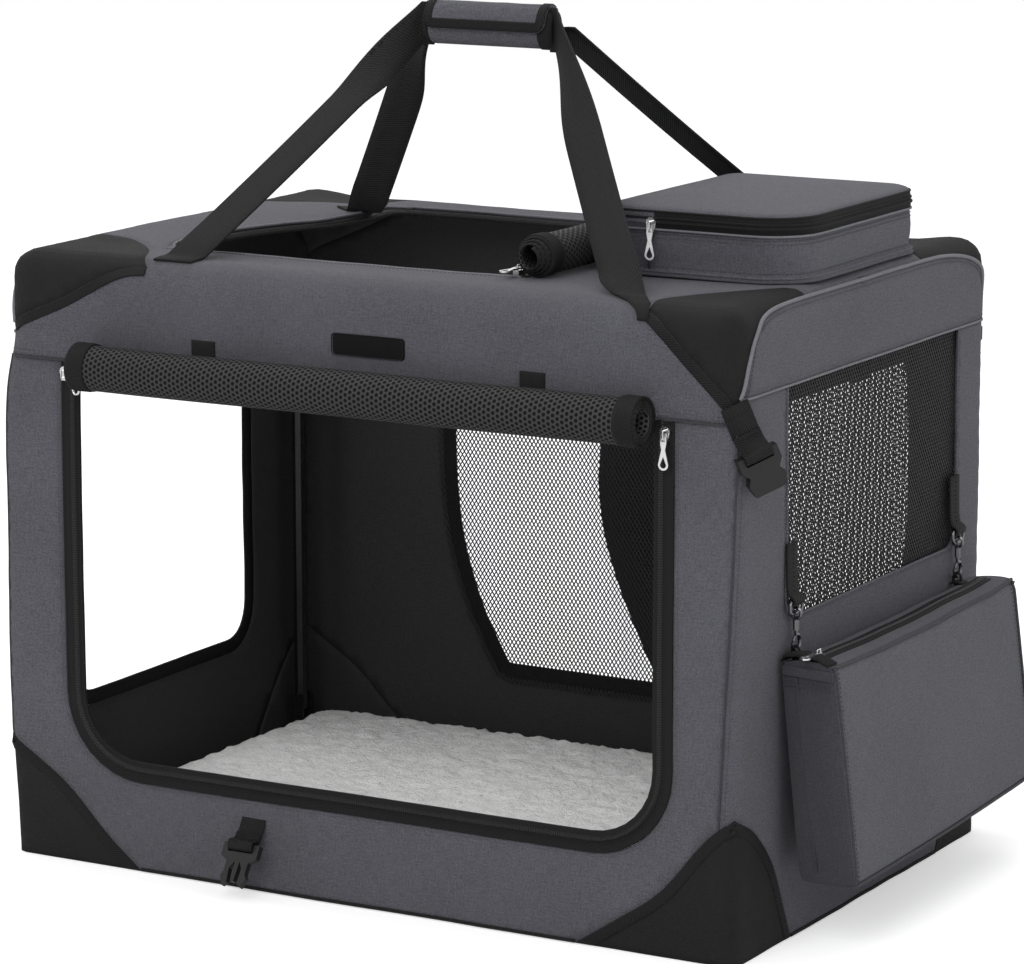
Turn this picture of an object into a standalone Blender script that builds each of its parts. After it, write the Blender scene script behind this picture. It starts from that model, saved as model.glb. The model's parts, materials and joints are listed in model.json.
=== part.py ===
"""A folding fabric dog crate on a folding steel-tube frame.

The origin is on the ground under the middle of the crate. +X is to the right of the front door,
+Y is to the back and +Z is up. Everything is in metres.
"""
import math

import bmesh
import bpy
from mathutils import Matrix, Vector

# The crate's outer sizes and its cloth
WIDTH = 0.700
DEPTH = 0.488
HEIGHT = 0.535
CLOTH = 0.002
GAP = 0.0003
CORNER_RADIUS = 0.020
TOP_EDGE_RADIUS = 0.016
FRONT_SEAM_Z = HEIGHT - 0.092
SIDE_SEAM_Z = HEIGHT - 0.072

# Corner patches: how far each runs along the crate's width, its depth and its height
PATCH_LEFT = (0.125, 0.110, 0.108)
PATCH_RIGHT = (0.150, 0.103, 0.122)
GUSSET_LEFT = (0.138, 0.114, 0.064)
GUSSET_RIGHT = (0.098, 0.079, 0.081)

# Steel tubes
TUBE_RADIUS = 0.0065
RING_INSET = 0.0128
RING_CORNER = 0.020
FRAME_CORNER = 0.035
CROSS_TUBE_Z = HEIGHT - 0.085
LEFT_PIVOT_Z = 0.045
RIGHT_PIVOT_Z = 0.085
LEFT_POST_Y = DEPTH / 2 - 0.050
POST_LANE = 0.0155
RIVET_RADIUS = 0.0024
EAR_THICKNESS = 0.0025
EAR_WIDTH = 0.015
CLIP_WIDTH = 0.022
CLIP_WALL = 0.002

# Door and window openings, as places of their edges
FRONT_DOOR_LEFT = -WIDTH / 2 + 0.051
FRONT_DOOR_RIGHT = WIDTH / 2 - 0.057
FRONT_DOOR_SILL = 0.079
FRONT_DOOR_CORNER = 0.075
LEFT_DOOR_FRONT = -DEPTH / 2 + 0.084
LEFT_DOOR_BACK = DEPTH / 2 - 0.094
LEFT_DOOR_SILL = 0.105
LEFT_DOOR_CORNER = 0.045
RIGHT_WINDOW_FRONT = -DEPTH / 2 + 0.086
RIGHT_WINDOW_BACK = DEPTH / 2 - 0.072
RIGHT_WINDOW_SILL = 0.275
RIGHT_WINDOW_CORNER = 0.018
BACK_WINDOW_LEFT = -WIDTH / 2 + 0.150
BACK_WINDOW_RIGHT = WIDTH / 2 - 0.075
BACK_WINDOW_SILL = 0.085
BACK_WINDOW_CORNER = 0.110
TOP_DOOR_LEFT = -WIDTH / 2 + 0.100
TOP_DOOR_RIGHT = WIDTH / 2 - 0.237
TOP_DOOR_FRONT = -DEPTH / 2 + 0.072
TOP_DOOR_BACK = DEPTH / 2 - 0.064
TOP_DOOR_CORNER = 0.040
ZIP_WIDTH = 0.013
ZIP_THICKNESS = 0.003

# Window nets
NET_THICKNESS = 0.001
NET_HEM = 0.012
NET_PITCH = 0.036
NET_RIB = 0.008

# Rolled-up doors
DOOR_ROLL_RADIUS = 0.0235
TOP_ROLL_RADIUS = 0.0190
ROLL_HOLE_RADIUS = 0.0080
ROLL_PITCH = 0.0042
ROLL_CLOTH = 0.0026
ROLL_STEPS = 14
FRONT_ROLL_LEFT = -WIDTH / 2 + 0.067
FRONT_ROLL_RIGHT = WIDTH / 2 - 0.071
DOOR_ROLL_Z = HEIGHT - 0.0965

# Floor and mat
MAT_THICKNESS = 0.033
MAT_MARGIN = 0.002
MAT_CORNER = 0.030
MAT_SOFT_EDGE = 0.010
MAT_CROWN = 0.005

# Roof pocket
POCKET_LEFT = WIDTH / 2 - 0.193
POCKET_RIGHT = WIDTH / 2 - 0.015
POCKET_FRONT = -DEPTH / 2 + 0.129
POCKET_BACK = DEPTH / 2 - 0.119
POCKET_BODY_HEIGHT = 0.043
POCKET_LID_HEIGHT = 0.013
POCKET_CORNER = 0.022
LID_EDGE_RADIUS = 0.006
POCKET_SLIDER_INSET = 0.048

# Carrying handle
GRIP_CENTRE = (-0.005, -0.015, HEIGHT + 0.185)
GRIP_LENGTH = 0.120
GRIP_HEIGHT = 0.040
GRIP_DEPTH = 0.024
FLAP_THICKNESS = 0.003
WEBBING = 0.038
WEBBING_THICKNESS = 0.002
FRONT_FOOT_LEFT_X = -WIDTH / 2 + 0.154
FRONT_FOOT_RIGHT_X = WIDTH / 2 - 0.107
BACK_FOOT_LEFT_X = -WIDTH / 2 + 0.105
BACK_FOOT_RIGHT_X = WIDTH / 2 - 0.1485
FRONT_FOOT_INSET = 0.030
BACK_FOOT_INSET = 0.032
FOOT_LENGTH = 0.028
LEG_TWIST_LENGTH = 0.045
LEG_SPACING = 0.010
LEG_SEAM = 0.006
FLAP_START = 60
FLAP_END = 250

# Zip sliders and their pulls
SLIDER_WIDTH = 0.0090
SLIDER_LENGTH = 0.0120
SLIDER_HEIGHT = 0.0045
SLIDER_BRIDGE_HEIGHT = 0.0084
SLIDER_BRIDGE_RADIUS = 0.0008
SLIDER_BRIDGE_LENGTH = 0.0060
PULL_PIVOT_HEIGHT = 0.00605
PULL_LENGTH = 0.030
PULL_WIDTH = 0.0090
PULL_EYE_WIDTH = 0.0056
PULL_EYE_LENGTH = 0.0060
PULL_EYE_HOLE = 0.0030
PULL_STRIP = 0.0018
PULL_THICKNESS = 0.0014

# Side-release buckles and their webbing
BUCKLE_WEBBING = 0.025
BUCKLE_WIDTH = 0.035
BUCKLE_THICKNESS = 0.010
FEMALE_LENGTH = 0.034
SOCKET_WIDTH = 0.024
SOCKET_HEIGHT = 0.0056
SOCKET_DEPTH = 0.022
MALE_PLATE = 0.006
MALE_BASE_LENGTH = 0.016
PRONG_LENGTH = 0.022
SLOT_LENGTH = 0.004
BUCKLE_BAR = 0.004
BAR_CLEARANCE = 0.0004
FRONT_STRAP_LENGTH = 0.022
SIDE_STRAP_LENGTH = 0.034
BACK_STRAP_LENGTH = 0.016
FRONT_STRAP_X = -WIDTH / 2 + 0.242
FRONT_STRAP_Z = 0.060
FRONT_STRAP_LEAN = 32
SIDE_STRAP_Z = HEIGHT - 0.081
SIDE_STRAP_TILT = 23
BACK_STRAP_INSET = 0.030
BACK_STRAP_Z = HEIGHT - 0.067

# Side bag, its hooks and its straps
BAG_FRONT_END = -DEPTH / 2 + 0.072
BAG_BACK_END = DEPTH / 2 - 0.052
BAG_TOP_Z = 0.240
BAG_BOTTOM_Z = 0.048
BAG_THICKNESS = 0.052
BAG_LEAN = 0.020
BAG_CORNER = 0.012
BAG_MOUTH_EDGE = 0.008
BAG_MOUTH_END = 0.028
BAG_SLIDER_INSET = 0.017
HOOK_AXIS_X = WIDTH / 2 + 0.0067
HOOK_AXIS_Z = 0.2760
HOOK_FRONT_Y = -DEPTH / 2 + 0.092
HOOK_BACK_Y = DEPTH / 2 - 0.076
HOOK_RING_RADIUS = 0.0065
HOOK_WIRE = 0.0017
HOOK_EYE_RADIUS = 0.0045
HOOK_EYE_WIRE = 0.0014
HOOK_DROP = 0.031
GATE_INSET = 0.0002
GATE_START = 114
GATE_STOP = 160
RING_WIRE = 0.0015
RING_WIDTH = 0.022
RING_HEIGHT = 0.011
HANG_STRAP_TOP_Z = 0.334
HANG_STRAP_WIDTH = 0.019
LOOP_RADIUS = 0.0036
LOOP_WIRE = 0.0013
TAB_WIDTH = 0.012

# Places worked out from the sizes above
RING_X = WIDTH / 2 - RING_INSET
RING_Y = DEPTH / 2 - RING_INSET
TOP_RING_Z = HEIGHT - RING_INSET
BOTTOM_RING_Z = CLOTH + GAP + TUBE_RADIUS
RIGHT_POST_Y = LEFT_POST_Y + POST_LANE
SLIDER_FACE = (ZIP_THICKNESS - CLOTH) / 2
BIG = 0.6
ALONG_Y = Matrix.Rotation(math.pi / 2, 4, "X")
ALONG_X = Matrix(((0, 0, 1, 0), (1, 0, 0, 0), (0, 1, 0, 0), (0, 0, 0, 1)))


def clear_scene():
    """Empty the file and make the collections for the part and its cutters."""
    for item in list(bpy.data.objects):
        bpy.data.objects.remove(item, do_unlink=True)
    parts = bpy.data.collections.new("folding_dog_crate")
    cutters = bpy.data.collections.new("cutters")
    for group in (parts, cutters):
        bpy.context.scene.collection.children.link(group)
    return parts, cutters


PARTS, CUTTERS = clear_scene()


def material(name, colour, roughness, metallic=0.0):
    """A plain Principled material."""
    result = bpy.data.materials.new(name)
    result.use_nodes = True
    shader = result.node_tree.nodes["Principled BSDF"]
    shader.inputs["Base Color"].default_value = (*colour, 1.0)
    shader.inputs["Roughness"].default_value = roughness
    shader.inputs["Metallic"].default_value = metallic
    return result


GREY_CLOTH = material("grey_cloth", (0.098, 0.098, 0.115), 0.85)
BLACK_CLOTH = material("black_cloth", (0.020, 0.020, 0.021), 0.85)
BLACK_NET = material("black_net", (0.015, 0.015, 0.016), 0.75)
BLACK_WEBBING = material("black_webbing", (0.018, 0.018, 0.019), 0.70)
BLACK_PLASTIC = material("black_plastic", (0.025, 0.025, 0.027), 0.40)
WHITE_FLEECE = material("white_fleece", (0.78, 0.77, 0.75), 0.95)
COATED_STEEL = material("coated_steel", (0.030, 0.030, 0.033), 0.35, 0.6)
BRIGHT_METAL = material("bright_metal", (0.70, 0.70, 0.70), 0.22, 1.0)


def add_object(name, mesh, finish=None, smooth=True):
    """Link a mesh as a sub-part, or as a cutter when it has no finish."""
    item = bpy.data.objects.new(name, mesh)
    if finish is None:
        CUTTERS.objects.link(item)
        item.hide_render = True
        item.display_type = "WIRE"
        return item
    PARTS.objects.link(item)
    mesh.materials.append(finish)
    if smooth:
        mesh.shade_smooth()
        mesh.set_sharp_from_angle(angle=math.radians(35))
    return item


def box_bmesh(low, high):
    """A box between two corners."""
    bm = bmesh.new()
    bmesh.ops.create_cube(bm, size=1.0)
    low, high = Vector(low), Vector(high)
    size = high - low
    middle = (low + high) / 2
    bmesh.ops.scale(bm, vec=size, verts=bm.verts)
    bmesh.ops.translate(bm, vec=middle, verts=bm.verts)
    return bm


def finish_bmesh(bm, name, finish=None, matrix=None, smooth=True):
    """Turn a bmesh into an object, moved by a matrix."""
    if matrix is not None:
        bmesh.ops.transform(bm, matrix=matrix, verts=bm.verts)
    bmesh.ops.recalc_face_normals(bm, faces=bm.faces)
    mesh = bpy.data.meshes.new(name)
    bm.to_mesh(mesh)
    bm.free()
    return add_object(name, mesh, finish, smooth)


def box(name, low, high, finish=None, bevel=0.0, segments=2, matrix=None):
    """A box whose edges are all rounded by bevel."""
    bm = box_bmesh(low, high)
    if bevel:
        bmesh.ops.bevel(bm, geom=bm.edges[:], offset=bevel, segments=segments, profile=0.5,
                        affect="EDGES", clamp_overlap=True)
    return finish_bmesh(bm, name, finish, matrix)


def rounded_box(name, low, high, corner, top_edge, finish=None, segments=4, top_segments=3):
    """A box with rounded upright edges and a rounded rim round its top face."""
    bm = box_bmesh(low, high)
    upright = [e for e in bm.edges if abs(e.verts[0].co.z - e.verts[1].co.z) > 1e-6]
    bmesh.ops.bevel(bm, geom=upright, offset=corner, segments=segments, profile=0.5, affect="EDGES")
    if top_edge:
        rim = [e for e in bm.edges if all(v.co.z > high[2] - 1e-6 for v in e.verts)]
        bmesh.ops.bevel(bm, geom=rim, offset=top_edge, segments=top_segments, profile=0.5,
                        affect="EDGES")
    return finish_bmesh(bm, name, finish)


def curve_to_mesh(item, name, finish=None, smooth=True):
    """Replace a curve object by its welded mesh in world space."""
    bpy.context.view_layer.update()
    depsgraph = bpy.context.evaluated_depsgraph_get()
    mesh = bpy.data.meshes.new_from_object(item.evaluated_get(depsgraph))
    mesh.transform(item.matrix_world)
    mesh.materials.clear()
    bpy.data.objects.remove(item, do_unlink=True)
    bm = bmesh.new()
    bm.from_mesh(mesh)
    bmesh.ops.remove_doubles(bm, verts=bm.verts, dist=1e-6)
    bmesh.ops.recalc_face_normals(bm, faces=bm.faces)
    bm.to_mesh(mesh)
    bm.free()
    mesh.name = name
    return add_object(name, mesh, finish, smooth)


def plate(name, loops, low, high, finish=None, matrix=None, smooth=True):
    """A flat plate with the first loop as its outline and the others as holes.

    It fills low to high along the plate's own normal, before matrix is applied.
    """
    data = bpy.data.curves.new(name, "CURVE")
    data.dimensions = "2D"
    data.fill_mode = "BOTH"
    data.extrude = (high - low) / 2
    for loop in loops:
        spline = data.splines.new("POLY")
        spline.points.add(len(loop) - 1)
        for point, (u, v) in zip(spline.points, loop):
            point.co = (u, v, 0.0, 1.0)
        spline.use_cyclic_u = True
    item = bpy.data.objects.new(name, data)
    PARTS.objects.link(item)
    lift = Matrix.Translation((0, 0, (low + high) / 2))
    item.matrix_world = (matrix or Matrix.Identity(4)) @ lift
    return curve_to_mesh(item, name, finish, smooth)


def tube(name, points, radius, finish=None, cyclic=False, resolution=2):
    """A round tube with closed ends along a list of points."""
    data = bpy.data.curves.new(name, "CURVE")
    data.dimensions = "3D"
    data.bevel_depth = radius
    data.bevel_resolution = resolution
    data.use_fill_caps = not cyclic
    spline = data.splines.new("POLY")
    spline.points.add(len(points) - 1)
    for point, place in zip(spline.points, points):
        point.co = (*place, 1.0)
    spline.use_cyclic_u = cyclic
    item = bpy.data.objects.new(name, data)
    PARTS.objects.link(item)
    return curve_to_mesh(item, name, finish)


def loft(name, rings, finish):
    """A closed solid through rings of equally many points, with flat ends."""
    bm = bmesh.new()
    rows = [[bm.verts.new(point) for point in ring] for ring in rings]
    bm.faces.new(rows[0])
    bm.faces.new(rows[-1])
    for first, second in zip(rows, rows[1:]):
        for i in range(len(first)):
            bm.faces.new((first[i - 1], first[i], second[i], second[i - 1]))
    return finish_bmesh(bm, name, finish)


def ribbon(name, points, sides, width, thickness, finish):
    """Flat webbing along a list of points, its width at each one along its own side vector."""
    bm = bmesh.new()
    rows = []
    for point, side in zip(points, sides):
        half = Vector(side).normalized() * width / 2
        rows.append([bm.verts.new(Vector(point) - half), bm.verts.new(Vector(point) + half)])
    for first, second in zip(rows, rows[1:]):
        bm.faces.new((first[0], first[1], second[1], second[0]))
    item = finish_bmesh(bm, name, finish)
    solid = item.modifiers.new("thickness", "SOLIDIFY")
    solid.thickness = thickness
    solid.offset = 0.0
    solid.use_even_offset = True
    return item


def boolean(item, other, operation):
    """Cut, join or keep the overlap of item with other."""
    modifier = item.modifiers.new(f"{operation.lower()}_{other.name}", "BOOLEAN")
    modifier.operation = operation
    modifier.object = other
    modifier.solver = "EXACT"
    return item


def arc(centre, radius, start, end, steps, squash=1.0):
    """Points of an arc between two angles in degrees."""
    result = []
    for i in range(steps + 1):
        angle = math.radians(start + (end - start) * i / steps)
        result.append((centre[0] + radius * math.cos(angle),
                       centre[1] + radius * squash * math.sin(angle)))
    return result


def rounded_rectangle(left, bottom, right, top, radius, steps=4):
    """A closed outline with four equal round corners."""
    return (arc((right - radius, bottom + radius), radius, -90, 0, steps)
            + arc((right - radius, top - radius), radius, 0, 90, steps)
            + arc((left + radius, top - radius), radius, 90, 180, steps)
            + arc((left + radius, bottom + radius), radius, 180, 270, steps))


def open_top_outline(left, right, sill, top, radius, steps=6):
    """A doorway outline with two round lower corners and a straight top."""
    return ([(left, top)]
            + arc((left + radius, sill + radius), radius, 180, 270, steps)
            + arc((right - radius, sill + radius), radius, 270, 360, steps)
            + [(right, top)])


def swapped(points):
    """The same outline with its two directions exchanged."""
    return [(v, u) for u, v in points]


def half_space(name, corner, legs, shift):
    """A big cube that holds everything beyond the plane cutting off one crate corner.

    corner is the crate corner, legs the signed lengths along x, y and z, and shift moves the
    plane towards the middle of the crate.
    """
    corner = Vector(corner)
    a = corner + Vector((legs[0], 0, 0))
    b = corner + Vector((0, legs[1], 0))
    c = corner + Vector((0, 0, legs[2]))
    normal = (b - a).cross(c - a).normalized()
    if (corner - a).dot(normal) < 0:
        normal = -normal
    turn = normal.to_track_quat("Z", "Y").to_matrix().to_4x4()
    middle = (a + b + c) / 3 + normal * (BIG / 2 - shift)
    return box(name, (-BIG / 2,) * 3, (BIG / 2,) * 3, matrix=Matrix.Translation(middle) @ turn)


def crate_corners():
    """Every corner that has a black patch, as name, corner point and signed legs."""
    corners = []
    for level, z, legs_left, legs_right in (("bottom", 0.0, PATCH_LEFT, PATCH_RIGHT),
                                            ("top", HEIGHT, GUSSET_LEFT, GUSSET_RIGHT)):
        up = 1 if level == "bottom" else -1
        for side, x, legs in (("left", -WIDTH / 2, legs_left), ("right", WIDTH / 2, legs_right)):
            inward = 1 if side == "left" else -1
            for end, y in (("front", -DEPTH / 2), ("back", DEPTH / 2)):
                signed = (inward * legs[0], (1 if end == "front" else -1) * legs[1], up * legs[2])
                corners.append((f"{level}_{end}_{side}_patch", (x, y, z), signed))
    return corners


def shell_blank(name, finish):
    """The whole crate's outer skin before it is cut into its panels."""
    return rounded_box(name, (-WIDTH / 2, -DEPTH / 2, 0), (WIDTH / 2, DEPTH / 2, HEIGHT),
                       CORNER_RADIUS, TOP_EDGE_RADIUS, finish)


def build_cover():
    """Cut the skin into its sewn panels: four walls, two headers, the roof and eight patches."""
    inside = rounded_box("skin_inside", (-WIDTH / 2 + CLOTH, -DEPTH / 2 + CLOTH, -BIG),
                         (WIDTH / 2 - CLOTH, DEPTH / 2 - CLOTH, HEIGHT - CLOTH),
                         CORNER_RADIUS - CLOTH, TOP_EDGE_RADIUS - CLOTH)
    wide = {}
    for name, corner, legs in crate_corners():
        wide[name] = half_space(f"cut_{name}", corner, legs, GAP)
        keep = half_space(f"keep_{name}", corner, legs, 0.0)
        patch = shell_blank(name, BLACK_CLOTH)
        boolean(patch, inside, "DIFFERENCE")
        boolean(patch, keep, "INTERSECT")

    seam_x = WIDTH / 2 - CORNER_RADIUS
    half = GAP / 2
    front_low, side_low = FRONT_SEAM_Z - half, SIDE_SEAM_Z - half
    front_high, side_high = FRONT_SEAM_Z + half, SIDE_SEAM_Z + half
    sectors = {
        "front_wall": ((-seam_x + half, -BIG, -BIG), (seam_x - half, -DEPTH / 4, front_low)),
        "back_wall": ((-seam_x + half, DEPTH / 4, -BIG), (seam_x - half, BIG, front_low)),
        "left_wall": ((-BIG, -BIG, -BIG), (-seam_x - half, BIG, side_low)),
        "right_wall": ((seam_x + half, -BIG, -BIG), (BIG, BIG, side_low)),
        "roof_panel": ((-seam_x + half, -BIG, front_high), (seam_x - half, BIG, BIG)),
        "left_header": ((-BIG, -BIG, side_high), (-seam_x - half, BIG, BIG)),
        "right_header": ((seam_x + half, -BIG, side_high), (BIG, BIG, BIG)),
    }
    reach = CLOTH * 3
    openings = {
        "front_wall": plate("front_doorway", [open_top_outline(
            FRONT_DOOR_LEFT, FRONT_DOOR_RIGHT, FRONT_DOOR_SILL, HEIGHT, FRONT_DOOR_CORNER)],
            DEPTH / 2 - reach, DEPTH / 2 + reach, matrix=ALONG_Y),
        "back_wall": plate("back_window", [open_top_outline(
            BACK_WINDOW_LEFT, BACK_WINDOW_RIGHT, BACK_WINDOW_SILL, HEIGHT, BACK_WINDOW_CORNER)],
            -DEPTH / 2 - reach, -DEPTH / 2 + reach, matrix=ALONG_Y),
        "left_wall": plate("left_doorway", [open_top_outline(
            LEFT_DOOR_FRONT, LEFT_DOOR_BACK, LEFT_DOOR_SILL, HEIGHT, LEFT_DOOR_CORNER)],
            -WIDTH / 2 - reach, -WIDTH / 2 + reach, matrix=ALONG_X),
        "right_wall": plate("right_window", [open_top_outline(
            RIGHT_WINDOW_FRONT, RIGHT_WINDOW_BACK, RIGHT_WINDOW_SILL, HEIGHT,
            RIGHT_WINDOW_CORNER)],
            WIDTH / 2 - reach, WIDTH / 2 + reach, matrix=ALONG_X),
        "roof_panel": plate("roof_doorway", [swapped(open_top_outline(
            TOP_DOOR_FRONT, TOP_DOOR_BACK, TOP_DOOR_LEFT, TOP_DOOR_RIGHT, TOP_DOOR_CORNER))],
            HEIGHT - reach, HEIGHT + reach),
    }
    for name, (low, high) in sectors.items():
        panel = shell_blank(name, GREY_CLOTH)
        boolean(panel, inside, "DIFFERENCE")
        boolean(panel, box(f"sector_{name}", low, high), "INTERSECT")
        if name in openings:
            boolean(panel, openings[name], "DIFFERENCE")
        for patch_name, cutter in wide.items():
            level, end, side, _ = patch_name.split("_")
            on_side = name.split("_")[0] in (end, side) or name == "roof_panel"
            on_level = name != "roof_panel" and not name.endswith("header") or level == "top"
            if on_side and on_level:
                boolean(panel, cutter, "DIFFERENCE")


def band_outline(left, right, sill, top, radius, width, steps=6):
    """A U-shaped zip tape that lines a doorway with an open top."""
    outer = open_top_outline(left, right, sill, top, radius, steps)
    inner = open_top_outline(left + width, right - width, sill + width, top, radius - width, steps)
    return outer + inner[::-1]


def build_zips():
    """The zip tapes round the front door and the top door."""
    middle = DEPTH / 2 - CLOTH / 2
    plate("front_door_zip", [band_outline(
        FRONT_DOOR_LEFT + GAP, FRONT_DOOR_RIGHT - GAP, FRONT_DOOR_SILL + GAP, FRONT_SEAM_Z - GAP,
        FRONT_DOOR_CORNER - GAP, ZIP_WIDTH)],
        middle - ZIP_THICKNESS / 2, middle + ZIP_THICKNESS / 2, BLACK_CLOTH, ALONG_Y)
    band = swapped(band_outline(
        TOP_DOOR_FRONT + GAP, TOP_DOOR_BACK - GAP, TOP_DOOR_LEFT + GAP, TOP_DOOR_RIGHT - GAP,
        TOP_DOOR_CORNER - GAP, ZIP_WIDTH))
    middle = HEIGHT - CLOTH / 2
    plate("top_door_zip", [band], middle - ZIP_THICKNESS / 2, middle + ZIP_THICKNESS / 2,
          BLACK_CLOTH)


def net_holes(left, right, bottom, top, inside):
    """Square gaps in rows, leaving out those that the test inside refuses."""
    columns = int((right - left + NET_RIB) / NET_PITCH)
    rows = int((top - bottom + NET_RIB) / NET_PITCH)
    gap_u = (right - left + NET_RIB) / columns - NET_RIB
    gap_v = (top - bottom + NET_RIB) / rows - NET_RIB
    holes = []
    for i in range(columns):
        for j in range(rows):
            u = left + i * (gap_u + NET_RIB)
            v = bottom + j * (gap_v + NET_RIB)
            hole = [(u, v), (u + gap_u, v), (u + gap_u, v + gap_v), (u, v + gap_v)]
            if all(inside(point) for point in hole):
                holes.append(hole)
    return holes


def net(name, left, right, sill, seam, radius, low, high, matrix):
    """A window net whose hem lies behind the edges of its opening."""
    outline = open_top_outline(left - NET_HEM, right + NET_HEM, sill - NET_HEM, seam + NET_HEM,
                               radius + NET_HEM)

    def inside(point):
        u = max(left + radius - point[0], point[0] - right + radius, 0)
        v = max(sill + radius - point[1], 0)
        return u == 0 or v == 0 or math.hypot(u, v) < radius

    holes = net_holes(left, right, sill, seam - NET_RIB, inside)
    return plate(name, [outline] + holes, low, high, BLACK_NET, matrix, smooth=False)


def build_nets():
    """The two window nets, sewn to the inside of their walls."""
    outer = WIDTH / 2 - CLOTH - GAP
    net("right_window_net", RIGHT_WINDOW_FRONT, RIGHT_WINDOW_BACK, RIGHT_WINDOW_SILL, SIDE_SEAM_Z,
        RIGHT_WINDOW_CORNER, outer - NET_THICKNESS, outer, ALONG_X)
    outer = DEPTH / 2 - CLOTH - GAP
    net("back_window_net", BACK_WINDOW_LEFT, BACK_WINDOW_RIGHT, BACK_WINDOW_SILL, FRONT_SEAM_Z,
        BACK_WINDOW_CORNER, -outer, -outer + NET_THICKNESS, ALONG_Y)


def spiral_outline(outer_radius):
    """The section of a rolled-up net door: one unbroken spiral of cloth."""
    turns = (outer_radius - ROLL_HOLE_RADIUS - ROLL_CLOTH) / ROLL_PITCH
    steps = int(turns * ROLL_STEPS)
    outside, inside = [], []
    for i in range(steps + 1):
        angle = 2 * math.pi * turns * i / steps
        radius = outer_radius - ROLL_PITCH * turns * i / steps
        direction = (math.cos(angle), math.sin(angle))
        outside.append((radius * direction[0], radius * direction[1]))
        inside.append(((radius - ROLL_CLOTH) * direction[0], (radius - ROLL_CLOTH) * direction[1]))
    print("least gap between turns of a roll, in mm:", round((ROLL_PITCH - ROLL_CLOTH) * 1000, 2))
    return outside + inside[::-1]


def build_rolls():
    """The three net doors, rolled up and tied."""
    section = spiral_outline(DOOR_ROLL_RADIUS)
    stand_off = (ZIP_THICKNESS - CLOTH) / 2 + GAP + DOOR_ROLL_RADIUS
    centre = Matrix.Translation((0, -DEPTH / 2 - stand_off, DOOR_ROLL_Z))
    plate("front_door_roll", [section], -FRONT_ROLL_RIGHT, -FRONT_ROLL_LEFT, BLACK_NET,
          centre @ Matrix.Rotation(-math.pi / 2, 4, "Y") @ Matrix.Rotation(math.pi / 2, 4, "Z"))
    centre = Matrix.Translation((-WIDTH / 2 - GAP - DOOR_ROLL_RADIUS, 0, DOOR_ROLL_Z))
    plate("left_door_roll", [section], -LEFT_DOOR_BACK, -LEFT_DOOR_FRONT, BLACK_NET,
          centre @ ALONG_Y)
    section = spiral_outline(TOP_ROLL_RADIUS)
    lift = HEIGHT + (ZIP_THICKNESS - CLOTH) / 2 + GAP + TOP_ROLL_RADIUS
    centre = Matrix.Translation((TOP_DOOR_RIGHT + TOP_ROLL_RADIUS + GAP, 0, lift))
    plate("top_door_roll", [section], -TOP_DOOR_BACK, -TOP_DOOR_FRONT, BLACK_NET,
          centre @ ALONG_Y @ Matrix.Rotation(-math.pi / 2, 4, "Z"))


def ring_points(z, steps=3):
    """The path of a tube ring that follows the crate's plan."""
    return [(x, y, z) for x, y in
            rounded_rectangle(-RING_X, -RING_Y, RING_X, RING_Y, RING_CORNER, steps)]


def pivot_bracket(side, y, pivot_z):
    """Two ears round one post's foot with the rivet through them, welded to the bottom ring."""
    x = side * RING_X
    name = f"bracket_{'left' if side < 0 else 'right'}_{'front' if y < 0 else 'back'}"
    low = BOTTOM_RING_Z - EAR_THICKNESS
    outline = [(x - EAR_WIDTH / 2, low), (x + EAR_WIDTH / 2, low)]
    outline += arc((x, pivot_z), EAR_WIDTH / 2, 0, 180, 6)
    shift = TUBE_RADIUS + GAP * 2
    pieces = []
    for i, low in enumerate((-y - shift - EAR_THICKNESS, -y + shift)):
        pieces.append(plate(f"{name}_ear{i}", [outline], low, low + EAR_THICKNESS,
                            matrix=ALONG_Y))
    reach = shift + EAR_THICKNESS / 2
    pieces.append(tube(f"{name}_rivet", [(x, y - reach, pivot_z), (x, y + reach, pivot_z)],
                       RIVET_RADIUS))
    return pieces


def build_tubes():
    """The bottom and top rings, and the two end frames that fold between them."""
    bottom = tube("bottom_ring", ring_points(BOTTOM_RING_Z), TUBE_RADIUS, COATED_STEEL, True)
    for side, y, pivot in ((-1, LEFT_POST_Y, LEFT_PIVOT_Z), (1, RIGHT_POST_Y, RIGHT_PIVOT_Z)):
        for place in (-y, y):
            for piece in pivot_bracket(side, place, pivot):
                boolean(bottom, piece, "UNION")
    tube("top_ring", ring_points(TOP_RING_Z), TUBE_RADIUS, COATED_STEEL, True)

    foot = TUBE_RADIUS + 0.002
    for name, side, y, pivot in (("left_end_frame", -1, LEFT_POST_Y, LEFT_PIVOT_Z),
                                 ("right_end_frame", 1, RIGHT_POST_Y, RIGHT_PIVOT_Z)):
        x = side * RING_X
        radius = FRAME_CORNER
        path = [(-y, pivot - foot)]
        path += arc((-y + radius, CROSS_TUBE_Z - radius), radius, 180, 90, 5)
        path += arc((y - radius, CROSS_TUBE_Z - radius), radius, 90, 0, 5)
        path += [(y, pivot - foot)]
        frame = tube(name, [(x, u, v) for u, v in path], TUBE_RADIUS, COATED_STEEL)
        reach = y + TUBE_RADIUS * 2
        hole = tube(f"rivet_hole_{name}", [(x, -reach, pivot), (x, reach, pivot)],
                    RIVET_RADIUS + GAP)
        boolean(frame, hole, "DIFFERENCE")


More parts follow.
